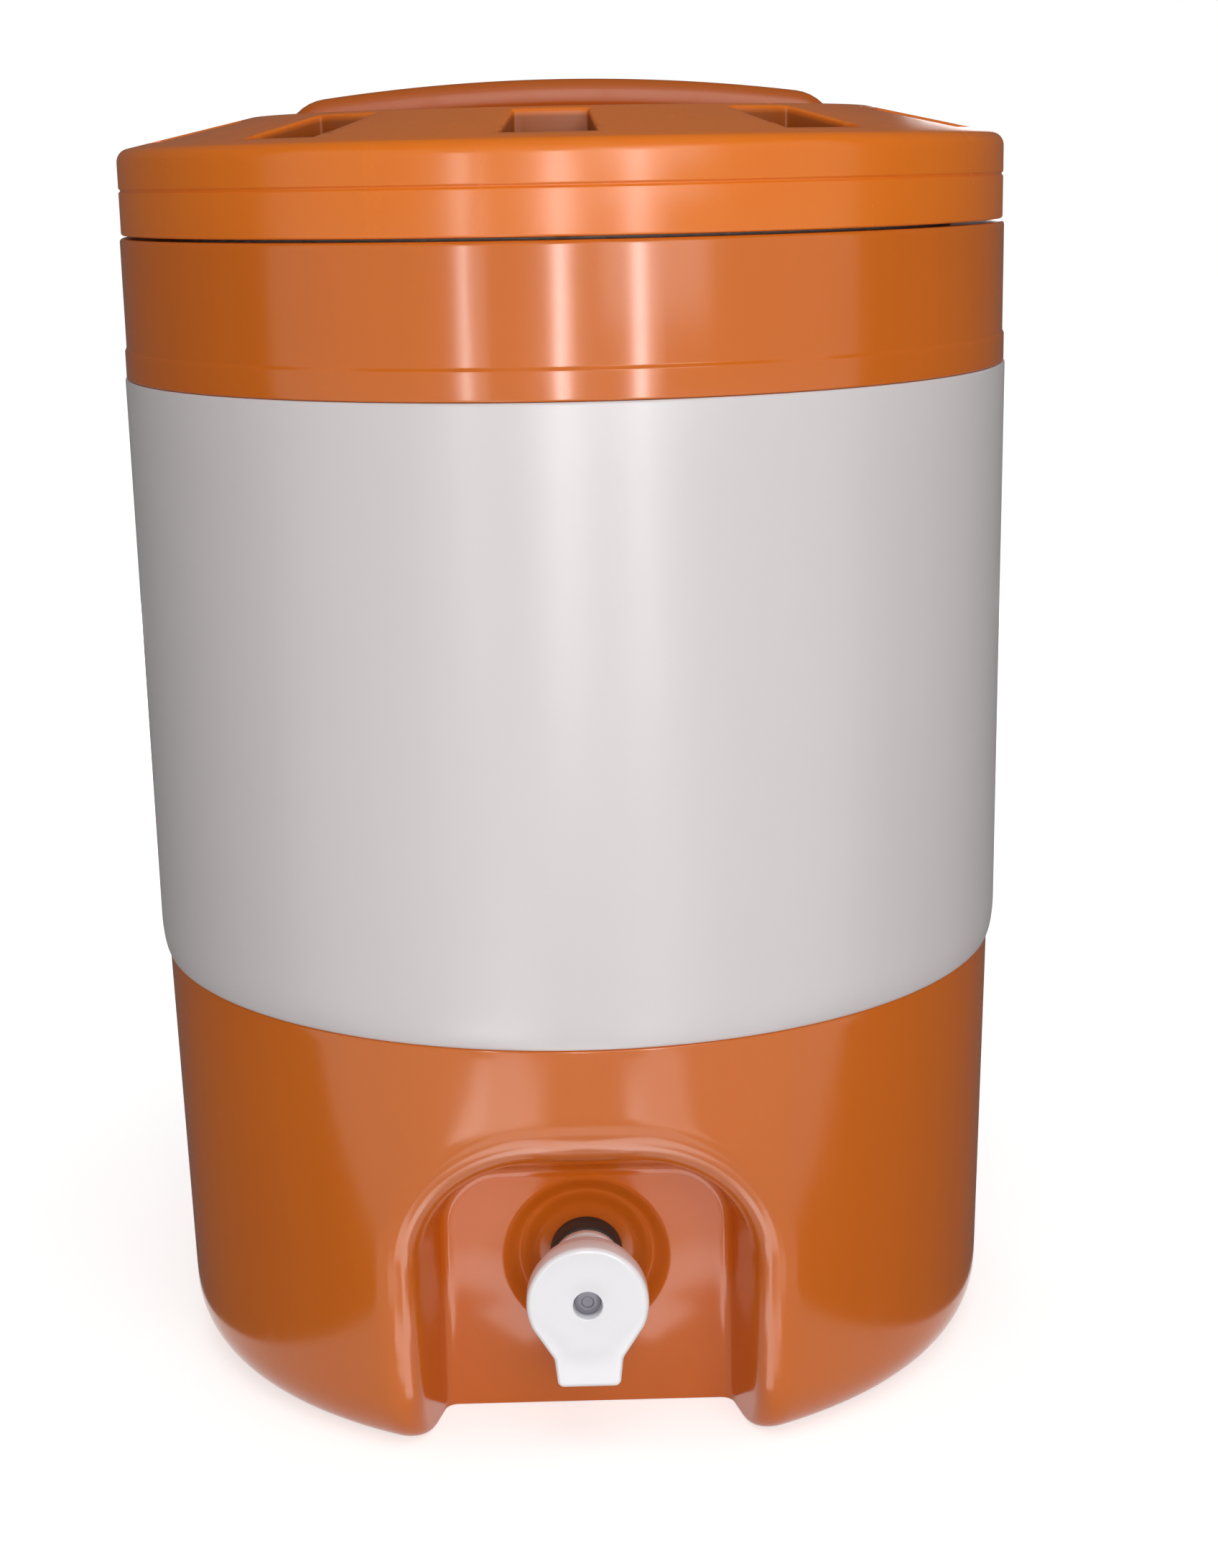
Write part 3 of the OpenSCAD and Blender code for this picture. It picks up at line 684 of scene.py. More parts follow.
@dataclass
class Base:
    """The moulded base with its arched niche, and the plate and screws below it."""

    height: float = 160.0
    top_r: float = 163.2
    foot_r: float = 160.3
    foot_edge: float = 16.0
    foot_rise: float = 21.0
    foot_in_r: float = 138.0
    wall: float = 3.0
    skirt_z: float = 12.0
    top_edge: float = 0.9
    seat_r: float = 152.0
    niche_back: float = 107.0
    niche_mouth: float = 168.2
    back_half: float = 53.5
    back_top: float = 95.0
    back_corner: float = 22.0
    mouth_corner: float = 58.0
    side_draft: float = 14.0
    roof_draft: float = 24.0
    tap_z: float = 59.0
    dish_r: float = 31.3
    dish_ring_r: float = 25.4
    dish_ring_depth: float = 3.4
    dish_floor_r: float = 18.0
    dish_depth: float = 6.0
    dish_margin: float = 1.0
    dish_soft: float = 0.4
    rim_gap: float = 0.4
    tap_hole_r: float = 11.0
    lip_in: float = 15.4
    lip_share: float = 0.85
    lip_out: float = 15.4
    lip_taper: float = 0.34
    lip_rise: float = 34.0
    lip_pull: float = 0.62
    heel: float = 4.0
    heel_pull: float = 0.6
    patch_angle: float = 0.72
    patch_top: float = 143.0
    foot_share: float = 0.205
    foot_rows: int = 9
    side_rows: int = 15
    corner_rows: int = 20
    roof_rows: int = 16
    heel_steps: int = 5
    wall_steps: int = 5
    lip_steps: int = 16
    patch_steps: int = 8
    dish_steps: tuple[int, int, int] = (8, 16, 9)
    floor_steps: int = 24
    taper_steps: int = 10
    rear_steps: int = 150
    edge_steps: int = 5
    crease: float = 50.0

    def radius_at(self, z: float) -> float:
        """Gives the base's outside radius at a height.

        Args:
            z: The height.

        Returns:
            The radius.
        """
        if z < self.foot_rise:
            return self.foot_r - self.foot_edge * (1 - math.sqrt(1 - (1 - z / self.foot_rise) ** 2))
        rise = (z - self.foot_rise) / (self.height - self.foot_rise)
        return self.foot_r + (self.top_r - self.foot_r) * rise

    def on_wall(self, angle: float, z: float) -> np.ndarray:
        """Gives a point of the outside, by its angle from the front and its height."""
        r = self.radius_at(z)
        return np.array([r * math.sin(angle), -r * math.cos(angle), z])

    def arch(self) -> list[tuple[np.ndarray, np.ndarray, np.ndarray]]:
        """Walks round the niche from its left foot over its roof to its right foot.

        Returns:
            For each step the point on the back wall, the point at the mouth and the way out of the arch.
        """
        deep = self.niche_mouth - self.niche_back
        mouth_half = self.back_half + deep * math.tan(math.radians(self.side_draft))
        mouth_top = self.back_top + deep * math.tan(math.radians(self.roof_draft))
        ends = [(self.back_half, self.back_top, self.back_corner),
                (mouth_half, mouth_top, self.mouth_corner)]
        rises = [self.foot_share * (1 - math.cos(math.pi / 2 * k / self.foot_rows))
                 for k in range(self.foot_rows + 1)]
        rises += [self.foot_share + (1 - self.foot_share) * k / self.side_rows
                  for k in range(1, self.side_rows + 1)]
        left = [([(-h, s * (t - c)) for h, t, c in ends], (-1.0, 0.0)) for s in rises]
        for k in range(1, self.corner_rows + 1):
            a = math.pi - math.pi / 2 * k / self.corner_rows
            left.append(([(-h + c + c * math.cos(a), t - c + c * math.sin(a)) for h, t, c in ends],
                         (math.cos(a), math.sin(a))))
        roof = [([((h - c) * (2 * k / self.roof_rows - 1), t) for h, t, c in ends], (0.0, 1.0))
                for k in range(1, self.roof_rows)]
        right = [([(-x, z) for x, z in pair], (-way[0], way[1])) for pair, way in left[::-1]]
        return [(np.array([back[0], -self.niche_back, back[1]]),
                 np.array([mouth[0], -self.niche_mouth, mouth[1]]), np.array(way))
                for (back, mouth), way in left + roof + right]

    def meets(self, inner: np.ndarray, outer: np.ndarray) -> np.ndarray:
        """Finds where a line of the niche's wall meets the outside.

        Args:
            inner: The line's end on the back wall.
            outer: The line's end at the mouth.

        Returns:
            The point on the outside.
        """
        low, high = 0.0, 1.0
        for _ in range(50):
            t = (low + high) / 2
            x, y, z = inner + (outer - inner) * t
            low, high = (t, high) if math.hypot(x, y) < self.radius_at(z) else (low, t)
        return inner + (outer - inner) * low

    @staticmethod
    def curve(start: np.ndarray, leave: np.ndarray, arrive: np.ndarray, end: np.ndarray,
              steps: int) -> list[np.ndarray]:
        """Draws a soft turn between two places.

        Args:
            start: Where it starts.
            leave: The handle at its start.
            arrive: The handle at its end.
            end: Where it ends.
            steps: Number of pieces.

        Returns:
            The points of the turn.
        """
        return [(1 - t) ** 3 * start + 3 * (1 - t) ** 2 * t * leave + 3 * (1 - t) * t * t * arrive
                + t ** 3 * end for t in np.linspace(0, 1, steps + 1)]

    def border(self, lips: Sequence[np.ndarray]) -> list[Point]:
        """Runs a border on the outside round the niche.

        Args:
            lips: Where the lines of the niche's wall meet the outside.

        Returns:
            The angle and height of the border beside each line.
        """
        count = len(lips)
        side = self.foot_rows + 1 + self.side_rows
        corner = side + self.corner_rows // 2
        side_top = lips[side - 1][2]
        made: list[Point] = []
        for i in range(count):
            j = min(i, count - 1 - i)
            if j < side:
                z = lips[j][2]
            else:
                rise = (self.patch_top - side_top) * (j - side + 1) / (corner - side + 1)
                z = min(self.patch_top, side_top + rise)
            turn = (i - corner) / (count - 1 - 2 * corner)
            made.append((self.patch_angle * (2 * min(max(turn, 0), 1) - 1), z))
        return made

    def arch_line(self, inner: np.ndarray, outer: np.ndarray, way: np.ndarray, lip: np.ndarray,
                  goal: Point) -> list[np.ndarray]:
        """Draws a line from the back wall along the niche's wall and over its soft lip.

        Args:
            inner: The point on the back wall.
            outer: The point at the mouth.
            way: The way out of the arch.
            lip: Where the wall meets the outside.
            goal: The angle and height on the outside where the line ends.

        Returns:
            The line's points.
        """
        along = (outer - inner) / np.linalg.norm(outer - inner)
        outwards = np.array([way[0], 0.0, way[1]])
        heel_in, heel_out = inner - self.heel * outwards, inner + self.heel * along
        pull = self.heel_pull * self.heel
        line = self.curve(heel_in, heel_in + pull * outwards, heel_out - pull * along, heel_out,
                          self.heel_steps)
        soft = 1 - self.lip_taper * (1 - min(lip[2] / self.lip_rise, 1))
        reach = min(soft * self.lip_in, self.lip_share * (np.linalg.norm(lip - inner) - self.heel))
        spread = soft * self.lip_out
        brow = lip - reach * along
        line += [heel_out + (brow - heel_out) * k / self.wall_steps for k in range(1, self.wall_steps)]
        angle = math.atan2(lip[0], -lip[1]) + spread * way[0] / self.radius_at(lip[2])
        z = lip[2] + spread * way[1]
        edge = self.on_wall(angle, z)
        slope = (self.top_r - self.foot_r) / (self.height - self.foot_rise) if way[1] > 0 else 0.0
        round_way = np.array([math.cos(angle), math.sin(angle), 0.0])
        up_way = np.array([slope * math.sin(angle), -slope * math.cos(angle), 1.0])
        tangent = way[0] * round_way + way[1] * up_way
        tangent /= np.linalg.norm(tangent)
        line += self.curve(brow, brow + self.lip_pull * reach * along,
                           edge - self.lip_pull * spread * tangent, edge, self.lip_steps)
        for k in range(1, self.patch_steps + 1):
            line.append(self.on_wall(angle + (goal[0] - angle) * k / self.patch_steps,
                                     z + (goal[1] - z) * k / self.patch_steps))
        return line

    def dish_sink(self, r: float) -> float:
        """Gives the depth of the dish.

        Args:
            r: The distance from the tap's axis.

        Returns:
            The depth there.
        """
        ring = np.clip((self.dish_r - r) / (self.dish_r - self.dish_ring_r), 0, 1)
        slope = (1 - self.dish_soft) * ring + self.dish_soft * eased(ring)
        floor = eased(np.array((self.dish_ring_r - r) / (self.dish_ring_r - self.dish_floor_r)))
        return float(self.dish_ring_depth * slope + (self.dish_depth - self.dish_ring_depth) * floor)

    def back_sheet(self, rim: np.ndarray) -> np.ndarray:
        """Draws the niche's back wall with the dish round the tap.

        Args:
            rim: The inner border of the niche's wall.

        Returns:
            The sheet's places, closed on itself.
        """
        first, last = rim[-1], rim[0]
        foot = [first + (last - first) * k / self.floor_steps for k in range(1, self.floor_steps)]
        centre = np.array([0.0, -self.niche_back, self.tap_z])
        rows = []
        for place in (*rim, *foot, rim[0]):
            arm = place - centre
            reach = math.hypot(arm[0], arm[2])
            marks = (reach, min(self.dish_r + self.dish_margin, reach - self.rim_gap),
                     self.dish_ring_r - self.dish_margin, self.tap_hole_r)
            stations = [reach]
            for start, end, steps in zip(marks, marks[1:], self.dish_steps):
                stations.extend(np.linspace(start, end, steps + 1)[1:])
            rows.append([centre + arm * (r / reach) + np.array([0.0, self.dish_sink(r), 0.0])
                         for r in stations])
        return np.array(rows)

    def foot_sheet(self, arch: np.ndarray, back: np.ndarray, rear: np.ndarray) -> np.ndarray:
        """Draws the flat foot and the skirt inside it.

        Args:
            arch: The niche's sheet.
            back: The back wall's lower edge from left to right.
            rear: The outside's lower edge from right over the rear to left.

        Returns:
            The sheet's places, closed on itself.
        """
        left, right = arch[0][::-1], arch[-1]
        core = np.array([*rear, *left[1:], *back[1:-1], *right])[:-1]
        flat = self.foot_r - self.foot_edge - self.foot_in_r
        span = np.clip(np.arange(len(left)) / self.taper_steps, 0, 1)
        taper = list(self.wall + (flat - self.wall) * (1 - eased(span)))
        width = [flat] * len(rear) + taper[1:] + [self.wall] * (len(back) - 2) + taper[::-1]
        way = np.roll(core, -1, 0) - np.roll(core, 1, 0)
        way /= np.linalg.norm(way, axis=1, keepdims=True)
        inwards = np.stack([-way[:, 1], way[:, 0], np.zeros(len(way))], 1)
        inner = core + inwards * np.array(width[:-1])[:, None]
        rows = [core, inner, inner + np.array([0.0, 0.0, self.skirt_z])]
        return np.array([np.vstack([row, row[:1]]) for row in rows])

    def top_sheet(self, around: Sequence[float]) -> np.ndarray:
        """Draws the outside above the niche, its rounded upper edge and the band's seat.

        Args:
            around: The angle of each column.

        Returns:
            The sheet's places.
        """
        profile = [(self.radius_at(z), z)
                   for z in np.linspace(self.patch_top, self.height - self.top_edge, self.edge_steps + 1)]
        for k in range(1, self.edge_steps + 1):
            a = math.pi / 2 * k / self.edge_steps
            profile.append((self.radius_at(self.height) - self.top_edge * (1 - math.cos(a)),
                            self.height - self.top_edge * (1 - math.sin(a))))
        profile.append((self.seat_r, self.height))
        return np.array([[(r * math.sin(a), -r * math.cos(a), z) for a in around] for r, z in profile])

    def build(self) -> None:
        """Builds the base's skin and dresses the plate and screws."""
        walk = self.arch()
        lips = [self.meets(inner, outer) for inner, outer, _ in walk]
        border = self.border(lips)
        arch = np.array([self.arch_line(*step, lip, goal) for step, lip, goal in zip(walk, lips, border)])
        back = self.back_sheet(arch[:, 0])
        heights = [z for angle, z in border[:len(border) // 2] if angle == -self.patch_angle]
        angles = np.linspace(self.patch_angle, 2 * math.pi - self.patch_angle, self.rear_steps + 1)
        rear = np.array([[self.on_wall(a, z) for a in angles] for z in heights])
        front = [angle for angle, z in border if z == self.patch_top]
        top = self.top_sheet([*front[:-1], *angles])
        back_foot = np.array([arch[0][0], *back[-2:-1 - self.floor_steps:-1, 0], arch[-1][0]])
        foot = self.foot_sheet(arch, back_foot, rear[0])
        base = Shape.sheet("moulded_base", arch)
        sheets = {"niche_back": back, "base_rear": rear, "base_top": top, "base_foot": foot}
        base.join(*[Shape.sheet(name, places) for name, places in sheets.items()])
        hand_over(base.finished(self.crease), Body.JUG, FINISHES.shell, "base_shell")
        keep_node("base_plate", FINISHES.shell)
        keep_node("base_screws", FINISHES.steel)


@dataclass
class Wall:
    """The off-white band, the collar above it, the tank and the foam between."""

    base_top: float = 160.0
    band_top: float = 381.0
    seam: float = 0.05
    flange_in_r: float = 155.0
    tuck: float = 14.0
    low_r: float = 163.2
    tuck_r: float = 165.7
    top_r: float = 166.7
    wall: float = 3.0
    tongue: float = 6.0
    tongue_r: float = 160.4
    collar_seam: float = 0.1
    collar_r: float = 165.6
    bead: float = 0.6
    bead_top: float = 391.0
    bead_step: float = 1.2
    deck: float = 432.0
    deck_in_r: float = 133.6

    def band_outline(self) -> list[Point]:
        """Draws the band from inside its lower flange round to inside its upper edge.

        Returns:
            Radius and height of each ring.
        """
        tuck = [(self.low_r + (self.tuck_r - self.low_r) * math.sin(a),
                 self.base_top + self.tuck * (1 - math.cos(a)))
                for a in np.linspace(0, math.pi / 2, 15)]
        low = self.base_top + self.seam
        lower = rounded([(self.flange_in_r, self.base_top + self.wall, 0), (self.flange_in_r, low, 0.3),
                         (tuck[0][0] - 0.1, low, 0.7), (*tuck[3], 0)], 4)
        inside = self.top_r - self.wall
        upper = rounded([(*tuck[-1], 0), (self.top_r, self.band_top, 0.9), (inside, self.band_top, 0.3),
                         (inside, self.band_top - self.tongue, 0)], 5)
        straight = [(self.tuck_r + (self.top_r - self.tuck_r) * k / 8,
                     tuck[-1][1] + (self.band_top - tuck[-1][1]) * k / 8) for k in range(1, 8)]
        return lower + tuck[4:] + straight + upper[1:]

    def collar_outline(self) -> list[Point]:
        """Draws the collar from its tongue in the band up to the edge of its deck.

        Returns:
            Radius and height of each ring.
        """
        bead_r = self.collar_r + self.bead
        low = self.band_top + self.collar_seam
        return rounded([
            (self.tongue_r, self.band_top - self.tongue, 0), (self.tongue_r, low, 0.3),
            (bead_r, low, 0.8), (bead_r, self.bead_top, 0.9),
            (self.collar_r, self.bead_top + self.bead_step, 1.2), (self.collar_r, self.deck, 1.4),
            (self.deck_in_r, self.deck, 0.6), (self.deck_in_r, self.deck - self.wall, 0)], 6)

    def build(self) -> None:
        """Builds band and collar, and dresses tank and foam."""
        band = Shape.turned("wall_band", self.band_outline())
        hand_over(band.finished(), Body.JUG, FINISHES.band, "body_band")
        collar = Shape.turned("rim_collar", self.collar_outline())
        hand_over(collar.finished(), Body.JUG, FINISHES.shell, "collar")
        keep_node("inner_tank", FINISHES.tank)
        keep_node("wall_insulation", FINISHES.foam)


@dataclass
class Lid:
    """The lift-off lid with its finger well, grip notches and bridge handle."""

    low: float = 433.0
    side_r: float = 165.0
    inside_r: float = 162.0
    skirt_in: float = 6.0
    groove_z: float = 449.0
    groove_w: float = 1.6
    groove_depth: float = 0.8
    rim: float = 464.0
    edge: float = 5.0
    shoulder_r: float = 113.0
    shoulder: float = 474.5
    shoulder_edge: float = 4.2
    ring_out_r: float = 157.5
    ring_in_r: float = 116.5
    well_top_r: float = 110.6
    well_floor_r: float = 106.5
    well_floor: float = 447.0
    well_rings: tuple[float, ...] = (90.0, 60.0, 25.0, 0.0)
    notch_in_r: float = 119.0
    notch_out_r: float = 154.0
    notch_half: float = 6.0
    notch_first: float = -91.5
    notch_step: float = 36.0
    notch_crease: float = 30.0
    notch_soft: float = 0.9
    notch_soft_r: float = 145.0
    notch_clear: float = 1.5
    bar_half: float = 102.89
    bar_w: float = 36.0
    bar_t: float = 12.0
    bar_crown: float = 486.0
    bar_crown_r: float = 680.0
    bar_corner: float = 18.0
    bar_crease: float = 60.0
    bar_soft: float = 4.0
    corner_steps: int = 9
    crown_steps: int = 26
    liner_z: float = 434.8
    liner_t: float = 2.5
    liner_gap: float = 0.3
    plug_r: float = 128.3
    plug_low: float = 406.8
    plug_rings: tuple[float, ...] = (110.0, 60.0, 0.0)
    seal_z: float = 424.8
    seal_half: float = 2.6
    seal_in: float = 2.4

    def cover_outline(self) -> list[Point]:
        """Draws the cover from inside its skirt over rim and shoulder to the middle of its well.

        Returns:
            Radius and height of each ring.
        """
        tilt = math.atan2(self.shoulder - self.rim, self.side_r - self.edge - self.shoulder_r)
        half = self.groove_w / 2
        skirt = rounded([
            (self.inside_r, self.low + self.skirt_in, 0), (self.inside_r, self.low, 0.6),
            (self.side_r, self.low, 0.9), (self.side_r, self.groove_z - half, 0.5),
            (self.side_r - self.groove_depth, self.groove_z, 0.4),
            (self.side_r, self.groove_z + half, 0.5), (self.side_r, self.groove_z + self.skirt_in, 0)], 4)
        edge_r, edge_z = self.side_r - self.edge, self.rim - self.edge
        rim = [(edge_r + self.edge * math.cos(a), edge_z + self.edge * math.sin(a))
               for a in np.linspace(0, math.pi / 2 - tilt, 10)]
        low_r, low_z = rim[-1]
        slope = math.tan(tilt)

        def dome(r: float) -> Point:
            """Gives a point of the sloping ring."""
            return (r, low_z + (low_r - r) * slope)

        notched = np.linspace(self.notch_out_r, self.notch_in_r, 9)
        ring = [dome(r) for r in (self.ring_out_r, *notched, self.ring_in_r)]
        well = rounded([
            (*ring[-1], 0), (*dome(self.well_top_r), self.shoulder_edge),
            (self.well_floor_r, self.well_floor, 4.0), (self.well_rings[0], self.well_floor, 0)], 7)
        floor = [(r, self.well_floor) for r in self.well_rings[1:]]
        return skirt[:-1] + rim + ring[:-1] + well + floor

    def in_notch(self, place: Vector) -> bool:
        """Tells whether a point of the sloping ring lies over a grip notch.

        Args:
            place: The point.

        Returns:
            Whether it does.
        """
        if not self.notch_in_r < math.hypot(place.x, place.y) < self.notch_out_r or place.z < self.rim:
            return False
        turn = math.degrees(math.atan2(place.y, place.x)) - self.notch_first
        return abs((turn + self.notch_step / 2) % self.notch_step - self.notch_step / 2) < self.notch_half

    def build_cover(self) -> None:
        """Builds the cover and sinks its grip notches."""
        cover = Shape.turned("lid_cover", self.cover_outline())
        cover.merge(FINE_SEAM)
        cover.pick(Pick.FACES, lambda place, _: self.in_notch(place))
        work = bmesh.from_edit_mesh(cover.obj.data)
        floor = min(v.co.z for f in work.faces if f.select for v in f.verts)
        cover.extrude(0.0)
        bpy.ops.transform.resize(value=(1, 1, 0), center_override=(0, 0, floor))
        cover.merge(FINE_SEAM)
        bpy.ops.mesh.dissolve_degenerate(threshold=SLIVER * MM)

        def upper_edge(place: Vector, _: Vector) -> bool:
            """Tells whether an edge lies along the top of a notch."""
            within = self.notch_in_r - 1 < math.hypot(place.x, place.y) < self.notch_soft_r
            return within and place.z > floor / MM + self.notch_clear

        cover.pick_creases(self.notch_crease, upper_edge)
        cover.bevel(self.notch_soft, 3)
        hand_over(cover.finished(), Body.LID, FINISHES.lid, "lid_shell")

    def build_handle(self) -> None:
        """Draws the bridge handle out of one flat end, over its corners and crown, and rounds its edges."""
        reach = self.bar_crown_r - self.bar_corner
        corner_x = self.bar_half - self.bar_corner
        tilt = math.asin(corner_x / reach)
        crown_z = self.bar_crown - self.bar_crown_r
        corner_z = crown_z + reach * math.cos(tilt)
        middle = ((self.bar_half - self.bar_t / 2) * MM, 0, self.well_floor * MM)
        bar = Shape("lid_bridge", bpy.ops.mesh.primitive_plane_add, size=1, location=middle)
        bpy.ops.transform.resize(value=(self.bar_t * MM, self.bar_w * MM, 1), center_override=middle)
        bar.extrude(corner_z - self.well_floor)
        turns = [((corner_x, corner_z), math.pi / 2 - tilt, self.corner_steps),
                 ((0.0, crown_z), 2 * tilt, self.crown_steps),
                 ((-corner_x, corner_z), math.pi / 2 - tilt, self.corner_steps)]
        for (x, z), angle, steps in turns:
            bpy.ops.mesh.spin(steps=steps, angle=angle, center=(x * MM, 0, z * MM), axis=(0, 1, 0))
        bar.extrude(self.well_floor - corner_z)
        bar.merge(FINE_SEAM)
        bar.face_out()
        bar.pick_creases(self.bar_crease, lambda place, along: abs(along.y) < 0.5
                         and not (abs(place.z - self.well_floor) < 0.1 and abs(along.z) < 0.5))
        bar.bevel(self.bar_soft, 5)
        hand_over(bar.finished(), Body.LID, FINISHES.handle, "lid_handle")

    def build_liner(self) -> None:
        """Turns the liner with its plug, seal groove and rounded lower edge."""
        liner_r, groove_r = self.inside_r - self.liner_gap, self.plug_r - self.seal_in
        seal_top, seal_low = self.seal_z + self.seal_half, self.seal_z - self.seal_half
        outline = rounded([
            (liner_r, self.liner_z + self.liner_t, 0), (liner_r, self.liner_z, 0.5),
            (self.plug_r, self.liner_z, 1.2), (self.plug_r, seal_top, 0.3), (groove_r, seal_top, 0.3),
            (groove_r, seal_low, 0.3), (self.plug_r, seal_low, 0.3), (self.plug_r, self.plug_low, 3.0),
            (self.plug_rings[0], self.plug_low, 0)], 4)
        liner = Shape.turned("liner_plug", outline + [(r, self.plug_low) for r in self.plug_rings[1:]])
        hand_over(liner.finished(), Body.LID, FINISHES.tank, "lid_liner")

    def build(self) -> None:
        """Builds the lid's pieces and dresses what is inside."""
        self.build_cover()
        self.build_handle()
        self.build_liner()
        for node, finish in (("handle_screws", FINISHES.steel), ("lid_insulation", FINISHES.foam),
                             ("lid_screws", FINISHES.steel), ("lid_seal", FINISHES.rubber)):
            keep_node(node, finish)


@dataclass
class Tap:
    """The tap: barrel, spout and grommet on the jug, lever and screw on the valve."""

    axis_z: float = 59.0
    dish_d: float = 101.0
    flange_d: float = 112.0
    barrel_d: float = 115.0
    barrel_end: float = 134.0
    grommet_r: float = 13.5
    grommet_gap: float = 0.1
    flange_r: float = 12.8
    barrel_r: float = 11.0
    shank_r: float = 10.0
    shank_end: float = 70.5
    waterway_r: float = 6.5
    waterway_in: float = 30.0
    valve_hole_r: float = 8.0
    valve_in: float = 6.0
    spout_d: float = 121.5
    spout_r: float = 7.5
    spout_root_r: float = 8.3
    spout_bore_r: float = 5.0
    spout_low: float = 26.0
    spout_in: float = 18.0
    head_r: float = 22.0
    head_back: float = 134.3
    head_front: float = 149.9
    head_points: int = 120
    near: float = 0.3
    weld: float = 0.05
    boss_r: float = 20.4
    boss_hole_r: float = 5.2
    tab_t: float = 10.0
    tip: float = 32.0
    tip_half: float = 11.25
    neck: float = 21.0
    neck_half: float = 12.5
    leave: float = 24.0
    rim_soft: float = 1.9
    recess_r: float = 5.3
    recess_d: float = 144.9
    recess_soft: float = 0.5
    crease: float = 50.0
    screw_r: float = 4.9
    screw_t: float = 2.2
    screw_stem_r: float = 1.4
    screw_stem: float = 4.0
    turned_points: int = 96
    small_points: int = 72

    def on_axis(self, shape: Shape) -> bpy.types.Object:
        """Lays a piece that was turned upright onto the tap's axis.

        Args:
            shape: The piece, its height being the distance in front of the jug's axis.

        Returns:
            The finished object.
        """
        obj = shape.finished()
        obj.rotation_euler = (math.pi / 2, 0, 0)
        obj.location = (0, 0, self.axis_z * MM)
        bpy.ops.object.transform_apply(location=True, rotation=True, scale=True)
        return obj

    def build_body(self) -> None:
        """Turns barrel and shank in one and sets the spout under them."""
        barrel = self.on_axis(Shape.turned("tap_barrel", rounded([
            (self.valve_hole_r, self.barrel_end - self.valve_in, 0),
            (self.valve_hole_r, self.barrel_end, 0.4), (self.barrel_r, self.barrel_end, 0.8),
            (self.barrel_r, self.barrel_d, 0.6),
            (self.flange_r, self.barrel_d, 0.7), (self.flange_r, self.flange_d, 0.4),
            (self.shank_r, self.flange_d, 0.3), (self.shank_r, self.shank_end, 0.8),
            (self.waterway_r, self.shank_end, 0.5),
            (self.waterway_r, self.shank_end + self.waterway_in, 0)], 4), self.turned_points))
        spout = Shape.turned("tap_spout", rounded([
            (self.spout_bore_r, self.spout_low + self.spout_in, 0), (self.spout_bore_r, self.spout_low, 0.9),
            (self.spout_r, self.spout_low, 0.9), (self.spout_r, self.axis_z - 16, 0),
            (self.spout_root_r, self.axis_z - 9, 0), (self.spout_root_r, self.axis_z - 4, 0)], 5),
            self.small_points).finished()
        spout.location = (0, -self.spout_d * MM, 0)
        bpy.ops.object.transform_apply(location=True, rotation=True, scale=True)
        join_into(barrel, spout)
        hand_over(barrel, Body.JUG, FINISHES.tap, "tap_body")

    def build_grommet(self) -> None:
        """Turns the rubber grommet with its rolled edges."""
        hole_r = self.shank_r + self.grommet_gap
        grommet = Shape.turned("rubber_grommet", rounded([
            (hole_r, self.dish_d, 0), (self.grommet_r, self.dish_d, 0.6),
            (self.grommet_r, self.flange_d, 1.6), (hole_r, self.flange_d, 0)], 6), self.turned_points)
        hand_over(self.on_axis(grommet), Body.JUG, FINISHES.rubber, "tap_grommet")

    def lever_outline(self) -> list[Point]:
        """Draws the right half of the lever's tab from its head to the middle of its tip."""
        start = math.radians(-self.leave)
        return rounded([(self.head_r * math.cos(start), self.head_r * math.sin(start), 0),
                        (self.neck_half, -self.neck, 5.0), (self.tip_half, -self.tip, 2.4),
                        (0.0, -self.tip, 0)], 5)

    def on_recess(self, place: Vector) -> bool:
        """Tells whether an edge's middle lies in the screw's recess and not on the lever's outline."""
        return math.hypot(place.x, place.z - self.axis_z) < self.recess_r + self.weld

    def sink(self, shape: Shape, recess: bool, depth: float) -> None:
        """Extrudes an open border of the lever towards the jug and closes it.

        Args:
            shape: The lever.
            recess: Whether it is the recess's border or the outline.
            depth: How far it goes.
        """
        shape.pick(Pick.EDGES, lambda place, edge: edge.is_boundary and self.on_recess(place) == recess)
        bpy.ops.mesh.extrude_edges_move(TRANSFORM_OT_translate={"value": (0, depth * MM, 0)})
        bpy.ops.mesh.edge_face_add()

